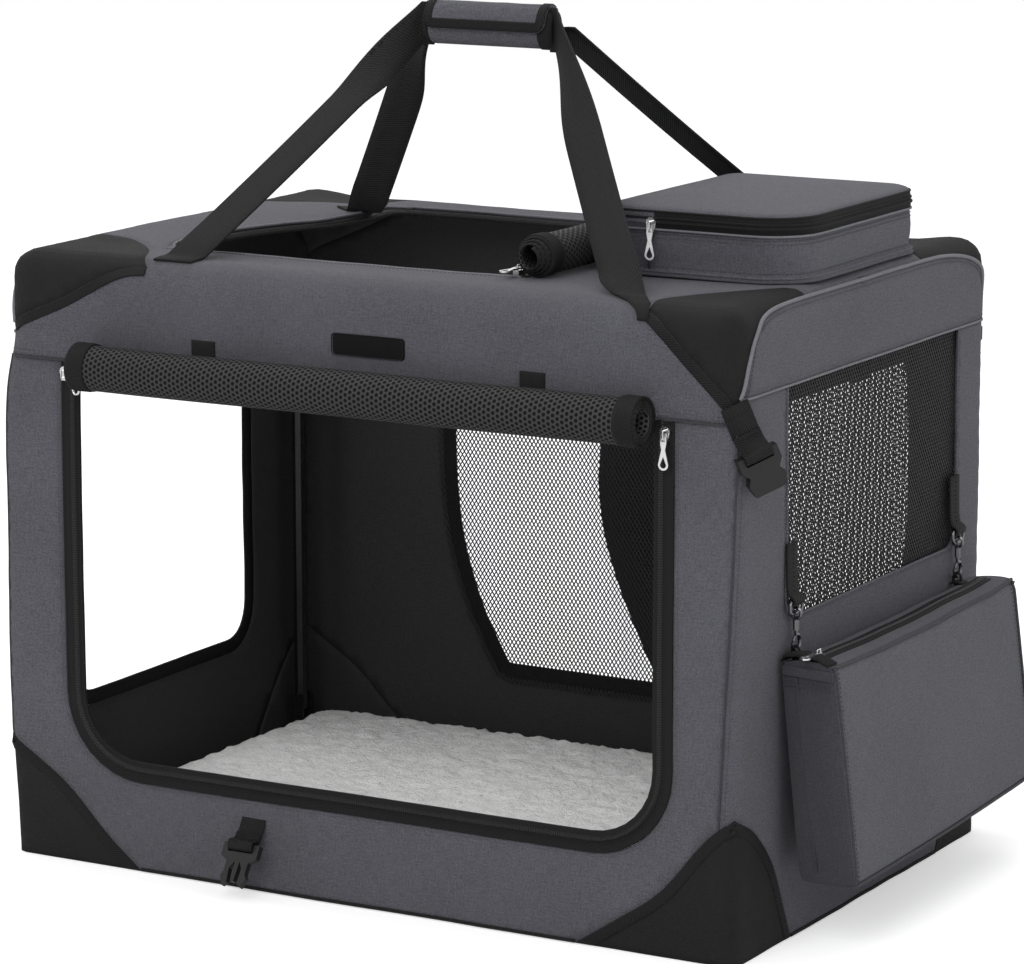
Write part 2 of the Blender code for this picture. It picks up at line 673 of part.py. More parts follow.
def clip_outline(side):
    """A snap clip seen along y: closed round the top ring, open towards the middle below."""
    upper = (0.0, TOP_RING_Z)
    lower = (0.0, CROSS_TUBE_Z)
    hole = TUBE_RADIUS + GAP
    rim = hole + CLIP_WALL
    neck = 0.004
    neck_angle = math.degrees(math.asin(neck / rim))
    mouth = 48
    outline = arc(upper, rim, -90 + neck_angle, 270 - neck_angle, 18)
    outline += arc(lower, rim, 90 + neck_angle, 360 - mouth, 16)
    outline += arc(lower, hole, 360 - mouth, 360 - 360 + mouth, 16)
    outline += arc(lower, rim, mouth, 90 - neck_angle, 3)
    flip = -side
    return [(flip * u, v) for u, v in outline], [(flip * u, v) for u, v in arc(upper, hole, 0, 345, 15)]


def build_clips():
    """The two snap clips that hold the end frames upright."""
    for name, side in (("left_clip", -1), ("right_clip", 1)):
        outline, hole = clip_outline(side)
        place = Matrix.Translation((side * RING_X, 0, 0)) @ ALONG_Y
        plate(name, [outline, hole], -CLIP_WIDTH / 2, CLIP_WIDTH / 2, BLACK_PLASTIC, place)


def build_floor():
    """The floor cloth and the fleece mat that lies on it, inside the bottom ring."""
    margin = CLOTH + GAP
    rounded_box("floor_panel", (-WIDTH / 2 + margin, -DEPTH / 2 + margin, 0),
                (WIDTH / 2 - margin, DEPTH / 2 - margin, CLOTH), CORNER_RADIUS - margin, 0,
                BLACK_CLOTH)
    half_x = RING_X - TUBE_RADIUS - MAT_MARGIN
    half_y = RING_Y - TUBE_RADIUS - MAT_MARGIN
    low, edge = CLOTH + GAP, MAT_SOFT_EDGE
    high = low + MAT_THICKNESS - MAT_CROWN
    profile = [(edge * 0.6, low), (edge * 0.1, low + edge * 0.5), (0, (low + high) / 2),
               (edge * 0.1, high - edge * 0.6), (edge * 0.5, high - edge * 0.15), (edge * 1.4, high),
               (0.050, high + MAT_CROWN * 0.55), (0.110, high + MAT_CROWN * 0.9),
               (0.180, high + MAT_CROWN)]
    rings = []
    for inset, z in profile:
        x, y = half_x - inset, half_y - inset
        corner = max(MAT_CORNER - inset, 0.006)
        rings.append([(u, v, z) for u, v in rounded_rectangle(-x, -y, x, y, corner)])
    loft("fleece_mat", rings, WHITE_FLEECE)


def build_pocket():
    """The zipped pocket on the roof and its hinged lid."""
    low = HEIGHT + GAP
    rim = low + POCKET_BODY_HEIGHT
    body = rounded_box("pocket_body", (POCKET_LEFT, POCKET_FRONT, low),
                       (POCKET_RIGHT, POCKET_BACK, rim), POCKET_CORNER, 0, GREY_CLOTH)
    hollow = rounded_box("pocket_hollow", (POCKET_LEFT + CLOTH, POCKET_FRONT + CLOTH, low + CLOTH),
                         (POCKET_RIGHT - CLOTH, POCKET_BACK - CLOTH, rim + BIG),
                         POCKET_CORNER - CLOTH, 0)
    boolean(body, hollow, "DIFFERENCE")
    low = rim + GAP
    lid = rounded_box("pocket_lid", (POCKET_LEFT, POCKET_FRONT, low),
                      (POCKET_RIGHT, POCKET_BACK, low + POCKET_LID_HEIGHT), POCKET_CORNER,
                      LID_EDGE_RADIUS, GREY_CLOTH, 4, 2)
    hollow = rounded_box("lid_hollow", (POCKET_LEFT + CLOTH, POCKET_FRONT + CLOTH, low - BIG),
                         (POCKET_RIGHT - CLOTH, POCKET_BACK - CLOTH,
                          low + POCKET_LID_HEIGHT - CLOTH), POCKET_CORNER - CLOTH,
                         LID_EDGE_RADIUS - CLOTH, None, 4, 2)
    boolean(lid, hollow, "DIFFERENCE")


def build_handle():
    """The grip, its wrap-over flap and the four webbing legs sewn to the roof."""
    cx, cy, cz = GRIP_CENTRE
    ratio = GRIP_HEIGHT / GRIP_DEPTH
    across = Matrix.Translation((cx, cy, cz)) @ Matrix.Rotation(math.pi / 2, 4, "Y") \
        @ Matrix.Rotation(math.pi / 2, 4, "Z")
    oval = arc((0, 0), GRIP_DEPTH / 2, 0, 337.5, 15, ratio)
    plate("handle_grip", [oval], -GRIP_LENGTH / 2, GRIP_LENGTH / 2, BLACK_WEBBING, across)
    low = GRIP_DEPTH / 2 + GAP
    tall = (GRIP_HEIGHT / 2 + GAP) / low
    high = low + FLAP_THICKNESS
    tall_out = (GRIP_HEIGHT / 2 + GAP + FLAP_THICKNESS) / high
    wrap = (arc((0, 0), high, FLAP_START, FLAP_END, 16, tall_out)
            + arc((0, 0), low, FLAP_END, FLAP_START, 16, tall))
    plate("grip_flap", [wrap], -GRIP_LENGTH / 2, GRIP_LENGTH / 2, GREY_CLOTH, across)

    roof = HEIGHT + GAP + WEBBING_THICKNESS / 2
    front, back = -DEPTH / 2 + FRONT_FOOT_INSET, DEPTH / 2 - BACK_FOOT_INSET
    for name, side, foot_x, foot_y in (
            ("front_left_leg", -1, FRONT_FOOT_LEFT_X, front),
            ("front_right_leg", 1, FRONT_FOOT_RIGHT_X, front),
            ("back_left_leg", -1, BACK_FOOT_LEFT_X, back),
            ("back_right_leg", 1, BACK_FOOT_RIGHT_X, back)):
        lane = LEG_SPACING / 2 if foot_y > 0 else -LEG_SPACING / 2
        start = Vector((cx + side * (GRIP_LENGTH / 2 + GAP), cy + lane, cz))
        toe = Vector((foot_x, foot_y, roof))
        plan = Vector((foot_x - start.x, foot_y - start.y, 0)).normalized()
        heel = toe - plan * FOOT_LENGTH
        across_leg = plan.cross(Vector((0, 0, 1)))
        seam = start + Vector((side * LEG_SEAM, 0, 0))
        run = (heel - seam).normalized()
        twisted = seam + run * LEG_TWIST_LENGTH
        upright = Vector((0, 0, 1)) * (-1 if across_leg.dot(Vector((0, side, 0))) > 0 else 1)
        ribbon(name, [start, seam, twisted, heel, toe],
               [upright, upright, across_leg, across_leg, across_leg],
               WEBBING, WEBBING_THICKNESS, BLACK_WEBBING)


def flap_hinge():
    """The seam at the top of the grip, round which its flap opens."""
    cx, cy, cz = GRIP_CENTRE
    angle = math.radians(FLAP_START)
    return (cx, cy + (GRIP_DEPTH / 2 + GAP) * math.cos(angle),
            cz + (GRIP_HEIGHT / 2 + GAP) * math.sin(angle))


def slider(prefix, place, out, down, with_pull=True):
    """A zip slider with its bar, and the pull that hangs on the bar.

    place is on the zip's surface, out the surface's normal and down the way the pull points.
    """
    out, down = Vector(out), Vector(down)
    along = out.cross(down)
    local = Matrix((along, -down, out)).transposed().to_4x4()
    local.translation = Vector(place) + out * GAP
    half, tip = SLIDER_WIDTH / 2, SLIDER_LENGTH / 2
    shield = ([(-half, tip * 0.3), (-half * 0.6, -tip), (half * 0.6, -tip), (half, tip * 0.3)]
              + arc((0, tip * 0.3), half, 30, 150, 4))
    body = plate(f"{prefix}_slider", [shield], 0, SLIDER_HEIGHT, BRIGHT_METAL, local)
    leg = SLIDER_BRIDGE_LENGTH / 2
    staple = [(0, leg, SLIDER_HEIGHT / 2), (0, leg, SLIDER_BRIDGE_HEIGHT),
              (0, -leg, SLIDER_BRIDGE_HEIGHT), (0, -leg, SLIDER_HEIGHT / 2)]
    bridge = tube(f"{prefix}_bridge", [local @ Vector(p) for p in staple], SLIDER_BRIDGE_RADIUS,
                  resolution=1)
    boolean(body, bridge, "UNION")
    if not with_pull:
        return
    eye, wide, strip = PULL_EYE_WIDTH / 2, PULL_WIDTH / 2, PULL_STRIP / 2
    end = strip - PULL_LENGTH + wide
    waist = -PULL_LENGTH * 0.42
    outline = [(eye, strip), (-eye, strip), (-eye, -strip - PULL_EYE_LENGTH), (-eye * 0.6, waist)]
    outline += arc((0, end), wide, 180, 360, 8)
    outline += [(eye * 0.6, waist), (eye, -strip - PULL_EYE_LENGTH)]
    hole = [(-PULL_EYE_HOLE / 2, -strip - PULL_EYE_LENGTH + strip),
            (PULL_EYE_HOLE / 2, -strip - PULL_EYE_LENGTH + strip),
            (PULL_EYE_HOLE / 2, -strip), (-PULL_EYE_HOLE / 2, -strip)]
    drop = arc((0, end), wide * 0.62, 180, 360, 6) + [(0, end + wide * 1.5)]
    low = PULL_PIVOT_HEIGHT - PULL_THICKNESS / 2
    plate(f"{prefix}_pull", [outline, hole, drop], low, low + PULL_THICKNESS, BRIGHT_METAL, local)


def build_sliders():
    """The zip sliders of the doors, the pocket and the bag."""
    face = -DEPTH / 2 - SLIDER_FACE
    down, front, up = (0, 0, -1), (0, -1, 0), (0, 0, 1)
    top = DOOR_ROLL_Z - SLIDER_LENGTH / 2
    slider("front_left", (FRONT_DOOR_LEFT + ZIP_WIDTH / 2, face, top), front, down, False)
    slider("front_right", (FRONT_DOOR_RIGHT - ZIP_WIDTH / 2, face, top), front, down)
    slider("top", (TOP_DOOR_RIGHT - SLIDER_WIDTH / 2 - GAP * 4, TOP_DOOR_FRONT + ZIP_WIDTH / 2,
                   HEIGHT + SLIDER_FACE), up, front)
    slider("pocket", (POCKET_LEFT + POCKET_SLIDER_INSET, POCKET_FRONT, HEIGHT + GAP + POCKET_BODY_HEIGHT),
           front, down)
    slider("bag", (bag_x(BAG_TOP_Z) + BAG_THICKNESS / 2, BAG_FRONT_END + BAG_SLIDER_INSET, BAG_TOP_Z), up,
           front)


def bag_x(z):
    """The bag's back face leans away from the wall towards its bottom."""
    share = (BAG_TOP_Z - z) / (BAG_TOP_Z - BAG_BOTTOM_Z)
    return WIDTH / 2 + GAP + 0.0022 + BAG_LEAN * share


def bag_section(margin, top):
    """The bag's section seen from its front end, drawn in by margin, with round lower corners."""
    low = BAG_BOTTOM_Z + margin
    radius = BAG_CORNER - margin
    back, front = bag_x(low) + margin, bag_x(low) + BAG_THICKNESS - margin
    return ([(bag_x(top) + margin, top)]
            + arc((back + radius, low + radius), radius, 180, 270, 3)
            + arc((front - radius, low + radius), radius, 270, 360, 3)
            + [(bag_x(top) + BAG_THICKNESS - margin, top)])


def build_bag():
    """The side bag, open at its zipped top, with the two loops that its hooks hold."""
    bag = plate("bag_body", [bag_section(0, BAG_TOP_Z)], -BAG_BACK_END, -BAG_FRONT_END,
                GREY_CLOTH, ALONG_Y)
    bridge_z = HOOK_AXIS_Z - HOOK_DROP
    for end, y in (("front", HOOK_FRONT_Y), ("back", HOOK_BACK_Y)):
        path = [(HOOK_AXIS_X + LOOP_RADIUS, y, BAG_TOP_Z)]
        path += [(u, y, v) for u, v in arc((HOOK_AXIS_X, bridge_z), LOOP_RADIUS, 0, 180, 8)]
        path += [(HOOK_AXIS_X - LOOP_RADIUS, y, BAG_TOP_Z)]
        loop = tube(f"bag_loop_{end}", path, LOOP_WIRE, resolution=1)
        boolean(bag, loop, "UNION")
        tab = box(f"bag_tab_{end}",
                  (bag_x(BAG_TOP_Z) + CLOTH / 4, y - TAB_WIDTH / 2, BAG_TOP_Z - CLOTH / 2),
                  (HOOK_AXIS_X + LOOP_RADIUS + CLOTH, y + TAB_WIDTH / 2, BAG_TOP_Z + CLOTH / 2))
        boolean(bag, tab, "UNION")
    hollow = plate("bag_hollow", [bag_section(CLOTH, BAG_TOP_Z - CLOTH)],
                   -BAG_BACK_END + CLOTH, -BAG_FRONT_END - CLOTH, matrix=ALONG_Y)
    boolean(bag, hollow, "DIFFERENCE")
    left = bag_x(BAG_TOP_Z) + BAG_MOUTH_EDGE
    right = bag_x(BAG_TOP_Z) + BAG_THICKNESS - BAG_MOUTH_EDGE
    mouth = plate("bag_mouth", [rounded_rectangle(
        left, BAG_FRONT_END + BAG_MOUTH_END, right, BAG_BACK_END - BAG_MOUTH_END,
        BAG_MOUTH_EDGE)], BAG_TOP_Z - CLOTH * 2, BAG_TOP_Z + CLOTH)
    boolean(bag, mouth, "DIFFERENCE")


def gate_ends(y):
    """The two ends of a snap hook's gate, the hinged one last."""
    centre = (y, HOOK_AXIS_Z - HOOK_DROP + HOOK_RING_RADIUS)
    return [arc(centre, HOOK_RING_RADIUS - GATE_INSET, angle, angle, 1)[0]
            for angle in (GATE_START, GATE_STOP)]


def build_hooks():
    """The straps on the wall with their rings, and the snap hooks that carry the bag."""
    for end, y in (("front", HOOK_FRONT_Y), ("back", HOOK_BACK_Y)):
        ring_top = HOOK_AXIS_Z + RING_HEIGHT
        x = HOOK_AXIS_X
        corners = rounded_rectangle(y - RING_WIDTH / 2, HOOK_AXIS_Z, y + RING_WIDTH / 2, ring_top,
                                    0.004, 2)
        ring = tube(f"wall_ring_{end}", [(x, u, v) for u, v in corners], RING_WIRE, cyclic=True,
                    resolution=1)
        inner = WIDTH / 2 + GAP
        strap_low = ring_top - RING_WIRE - 0.003
        strap = box(f"{end}_hang_strap", (inner, y - HANG_STRAP_WIDTH / 2, strap_low),
                    (x + RING_WIRE + 0.001, y + HANG_STRAP_WIDTH / 2, ring_top + 0.004),
                    BLACK_WEBBING, 0.001, 1)
        upper = box(f"{end}_hang_strap_upper", (inner, y - HANG_STRAP_WIDTH / 2, ring_top),
                    (inner + WEBBING_THICKNESS * 1.5, y + HANG_STRAP_WIDTH / 2,
                     HANG_STRAP_TOP_Z))
        boolean(strap, upper, "UNION")
        boolean(strap, ring, "UNION")

        centre_z = HOOK_AXIS_Z - HOOK_DROP + HOOK_RING_RADIUS
        path = [(y, HOOK_AXIS_Z - HOOK_EYE_RADIUS)]
        path += [(y, centre_z + HOOK_RING_RADIUS + 0.004)]
        path += arc((y, centre_z), HOOK_RING_RADIUS, 90, -190, 18)
        hook = tube(f"{end}_snap_hook", [(x, u, v) for u, v in path], HOOK_WIRE, BRIGHT_METAL,
                    resolution=1)
        eye_path = [(x + u, y, HOOK_AXIS_Z + v)
                    for u, v in arc((0, 0), HOOK_EYE_RADIUS, 0, 330, 11)]
        eye = tube(f"{end}_hook_eye", eye_path, HOOK_EYE_WIRE, cyclic=True, resolution=1)
        boolean(hook, eye, "UNION")
        barrel = tube(f"{end}_hook_barrel",
                      [(x, y, HOOK_AXIS_Z - HOOK_EYE_RADIUS - 0.001), (x, y, centre_z + 0.0105)],
                      HOOK_WIRE * 1.6, resolution=2)
        boolean(hook, barrel, "UNION")

        tube(f"{end}_hook_gate", [(x, *place) for place in gate_ends(y)], HOOK_WIRE * 0.7,
             BRIGHT_METAL, resolution=1)


def female_buckle(name, matrix):
    """The socket half of a side-release buckle, its mouth at -v and its webbing slot at +v."""
    half, length = BUCKLE_WIDTH / 2, FEMALE_LENGTH
    outline = [(-half * 0.78, 0), (half * 0.78, 0), (half * 0.94, length * 0.30),
               (half * 0.74, length * 0.48), (half, length * 0.66), (half, length),
               (-half, length), (-half, length * 0.66), (-half * 0.74, length * 0.48),
               (-half * 0.94, length * 0.30)]
    slot = rounded_rectangle(-BUCKLE_WEBBING / 2, length - BUCKLE_BAR - SLOT_LENGTH,
                             BUCKLE_WEBBING / 2, length - BUCKLE_BAR, 0.001, 1)
    body = plate(name, [outline, slot], 0, BUCKLE_THICKNESS, BLACK_PLASTIC, matrix)
    middle = BUCKLE_THICKNESS / 2
    socket = box(f"{name}_socket", (-SOCKET_WIDTH / 2, -0.01, middle - SOCKET_HEIGHT / 2),
                 (SOCKET_WIDTH / 2, SOCKET_DEPTH, middle + SOCKET_HEIGHT / 2), matrix=matrix)
    return boolean(body, socket, "DIFFERENCE")


def male_buckle(name, matrix):
    """The pronged half of a side-release buckle, its prongs towards -v."""
    half, tip = SOCKET_WIDTH / 2 - 0.0006, -PRONG_LENGTH
    wide = BUCKLE_WIDTH / 2
    outline = [(-wide, MALE_BASE_LENGTH), (-wide, 0.004), (-half * 0.95, 0.0),
               (-half * 0.92, tip * 0.45), (-half * 1.12, tip * 0.62), (-half * 0.80, tip),
               (-half * 0.45, tip * 0.86), (-half * 0.55, tip * 0.30), (-half * 0.20, 0.0),
               (-half * 0.14, tip * 0.80), (half * 0.14, tip * 0.80), (half * 0.20, 0.0),
               (half * 0.55, tip * 0.30), (half * 0.45, tip * 0.86), (half * 0.80, tip),
               (half * 1.12, tip * 0.62), (half * 0.92, tip * 0.45), (half * 0.95, 0.0),
               (wide, 0.004), (wide, MALE_BASE_LENGTH)]
    slot = rounded_rectangle(-BUCKLE_WEBBING / 2, MALE_BASE_LENGTH - BUCKLE_BAR - SLOT_LENGTH,
                             BUCKLE_WEBBING / 2, MALE_BASE_LENGTH - BUCKLE_BAR, 0.001, 1)
    return plate(name, [outline, slot], 0, MALE_PLATE, BLACK_PLASTIC, matrix)


def hanging_frame(root, out, down, tilt):
    """Axes of a strap sewn at root: u across it, v up along it and w away from the cloth."""
    out, down = Vector(out), Vector(down)
    along = out.cross(down)
    turn = Matrix((along, -down, out)).transposed().to_4x4()
    turn = turn @ Matrix.Rotation(tilt, 4, "Z")
    return Matrix.Translation(Vector(root)) @ turn


def buckle_strap(name, matrix, length, buckle_thickness):
    """Webbing from its seam to a buckle, folded round the buckle's bar and sewn to itself."""
    t, c = WEBBING_THICKNESS, BAR_CLEARANCE
    half = BUCKLE_WEBBING / 2 - GAP * 3
    low, top = t, t + buckle_thickness + c * 2
    under, over = -length - BUCKLE_BAR - c, -length + c
    join = over + buckle_thickness + t
    hole = [(low, under), (top, under), (top, over), (low, join)]
    outer = [(0, 0), (0, under - t), (top + t, under - t), (top + t, over + t / 2),
             (low * 2 - c, join + t * 2), (t, 0)]
    upright = Matrix(((0, 0, 1, 0), (0, 1, 0, 0), (1, 0, 0, 0), (0, 0, 0, 1)))
    return plate(name, [outer, hole], -half, half, BLACK_WEBBING, matrix @ upright)


def build_buckles():
    """The closing straps: a pronged buckle at the front and two sockets at the right corners."""
    lift = WEBBING_THICKNESS + BAR_CLEARANCE
    front_root = hanging_frame((FRONT_STRAP_X, -DEPTH / 2 - GAP, FRONT_STRAP_Z), (0, -1, 0),
                               (0, 0, -1), 0)
    front_root = front_root @ Matrix.Rotation(-math.radians(FRONT_STRAP_LEAN), 4, "X")
    buckle_strap("front_strap", front_root, FRONT_STRAP_LENGTH, MALE_PLATE)
    shift = Matrix.Translation((0, -FRONT_STRAP_LENGTH - MALE_BASE_LENGTH, lift))
    male_buckle("front_male_buckle", front_root @ shift)
    corner = CORNER_RADIUS * (1 - math.sqrt(0.5)) - GAP * 2
    side_root = hanging_frame((WIDTH / 2 - corner, -DEPTH / 2 + corner, SIDE_STRAP_Z),
                              (math.sqrt(0.5), -math.sqrt(0.5), 0), (0, 0, -1),
                              math.radians(SIDE_STRAP_TILT))
    back_root = hanging_frame((WIDTH / 2 - BACK_STRAP_INSET, DEPTH / 2 + GAP, BACK_STRAP_Z),
                              (0, 1, 0), (0, 0, -1), 0)
    for name, root, length in (("side", side_root, SIDE_STRAP_LENGTH),
                               ("back", back_root, BACK_STRAP_LENGTH)):
        buckle_strap(f"{name}_strap", root, length, BUCKLE_THICKNESS)
        shift = Matrix.Translation((0, -length - FEMALE_LENGTH, lift))
        female_buckle(f"{name}_female_buckle", root @ shift)
    return {"front": front_root, "side": side_root, "back": back_root}


def carry(name, place, nodes, carrier=None):
    """Hang pieces that move together on an empty that stands on their joint's axis."""
    empty = bpy.data.objects.new(name, None)
    PARTS.objects.link(empty)
    empty.location = place
    if carrier is not None:
        empty.parent = carrier
        empty.matrix_parent_inverse = Matrix.Translation(-carrier.matrix_world.translation)
    bpy.context.view_layer.update()
    for node in nodes:
        item = bpy.data.objects[node]
        item.data.transform(Matrix.Translation(-Vector(place)))
        item.parent = empty
    return empty


def place_on_axes(straps):
    """Give each moving piece an origin on its joint's axis."""
    carry("left_frame", (-RING_X, 0, LEFT_PIVOT_Z), ["left_end_frame"])
    carry("right_frame", (RING_X, 0, RIGHT_PIVOT_Z), ["right_end_frame"])
    roof = carry("roof", (0, 0, HEIGHT), [
        "top_ring", "roof_panel", "left_header", "right_header", "left_clip", "right_clip",
        "front_door_roll", "left_door_roll", "top_door_roll", "top_door_zip", "pocket_body",
        "front_left_leg", "front_right_leg", "back_left_leg", "back_right_leg"]
        + [name for name, _, _ in crate_corners() if name.startswith("top")])
    top = DOOR_ROLL_Z - SLIDER_LENGTH / 2
    lift = SLIDER_FACE + GAP
    pivot = lift + PULL_PIVOT_HEIGHT
    left_x, right_x = FRONT_DOOR_LEFT + ZIP_WIDTH / 2, FRONT_DOOR_RIGHT - ZIP_WIDTH / 2
    carry("left_slider", (left_x, -DEPTH / 2 - lift, top), ["front_left_slider"], roof)
    slide = carry("right_slider", (right_x, -DEPTH / 2 - lift, top), ["front_right_slider"], roof)
    carry("right_pull", (right_x, -DEPTH / 2 - pivot, top), ["front_right_pull"], slide)
    top_x, top_y = TOP_DOOR_RIGHT - SLIDER_WIDTH / 2 - GAP * 4, TOP_DOOR_FRONT + ZIP_WIDTH / 2
    slide = carry("roof_slider", (top_x, top_y, HEIGHT + lift), ["top_slider"], roof)
    carry("roof_pull", (top_x, top_y, HEIGHT + pivot), ["top_pull"], slide)
    rim = HEIGHT + GAP + POCKET_BODY_HEIGHT
    pocket_x = POCKET_LEFT + POCKET_SLIDER_INSET
    slide = carry("pocket_zip", (pocket_x, POCKET_FRONT - GAP, rim), ["pocket_slider"], roof)
    carry("pocket_zip_pull", (pocket_x, POCKET_FRONT - GAP - PULL_PIVOT_HEIGHT, rim),
          ["pocket_pull"], slide)
    carry("pocket_hinge", (POCKET_LEFT, 0, rim), ["pocket_lid"], roof)
    grip = carry("handle", GRIP_CENTRE, ["handle_grip"], roof)
    carry("flap_hinge", flap_hinge(), ["grip_flap"], grip)
    for name, root in straps.items():
        half = "male" if name == "front" else "female"
        carry(f"{name}_buckle", root.translation, [f"{name}_strap", f"{name}_{half}_buckle"],
              None if name == "front" else roof)
    bag = carry("side_bag", (HOOK_AXIS_X, 0, HOOK_AXIS_Z),
                ["bag_body", "front_snap_hook", "back_snap_hook"])
    bag_zip = (bag_x(BAG_TOP_Z) + BAG_THICKNESS / 2, BAG_FRONT_END + BAG_SLIDER_INSET,
               BAG_TOP_Z + GAP)
    slide = carry("bag_zip", bag_zip, ["bag_slider"], bag)
    carry("bag_zip_pull", (*bag_zip[:2], bag_zip[2] + PULL_PIVOT_HEIGHT), ["bag_pull"], slide)
    for end, y in (("front", HOOK_FRONT_Y), ("back", HOOK_BACK_Y)):
        hinge_y, hinge_z = gate_ends(y)[1]
        carry(f"{end}_gate_hinge", (HOOK_AXIS_X, hinge_y, hinge_z), [f"{end}_hook_gate"], bag)


def main():
    """Build every sub-part."""
    build_cover()
    build_zips()
    build_nets()
    build_rolls()
    build_tubes()
    build_clips()
    build_floor()
    build_pocket()
    build_handle()
    build_sliders()
    build_bag()
    build_hooks()
    place_on_axes(build_buckles())


main()
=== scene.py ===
"""The looks of the folding dog crate: sewn cloth, nets, fleece, webbing, metal, floor and light.

The origin is on the ground under the middle of the crate. +X is to the right of the front door,
+Y is to the back and +Z is up. Everything is in metres.
"""
import json
import math

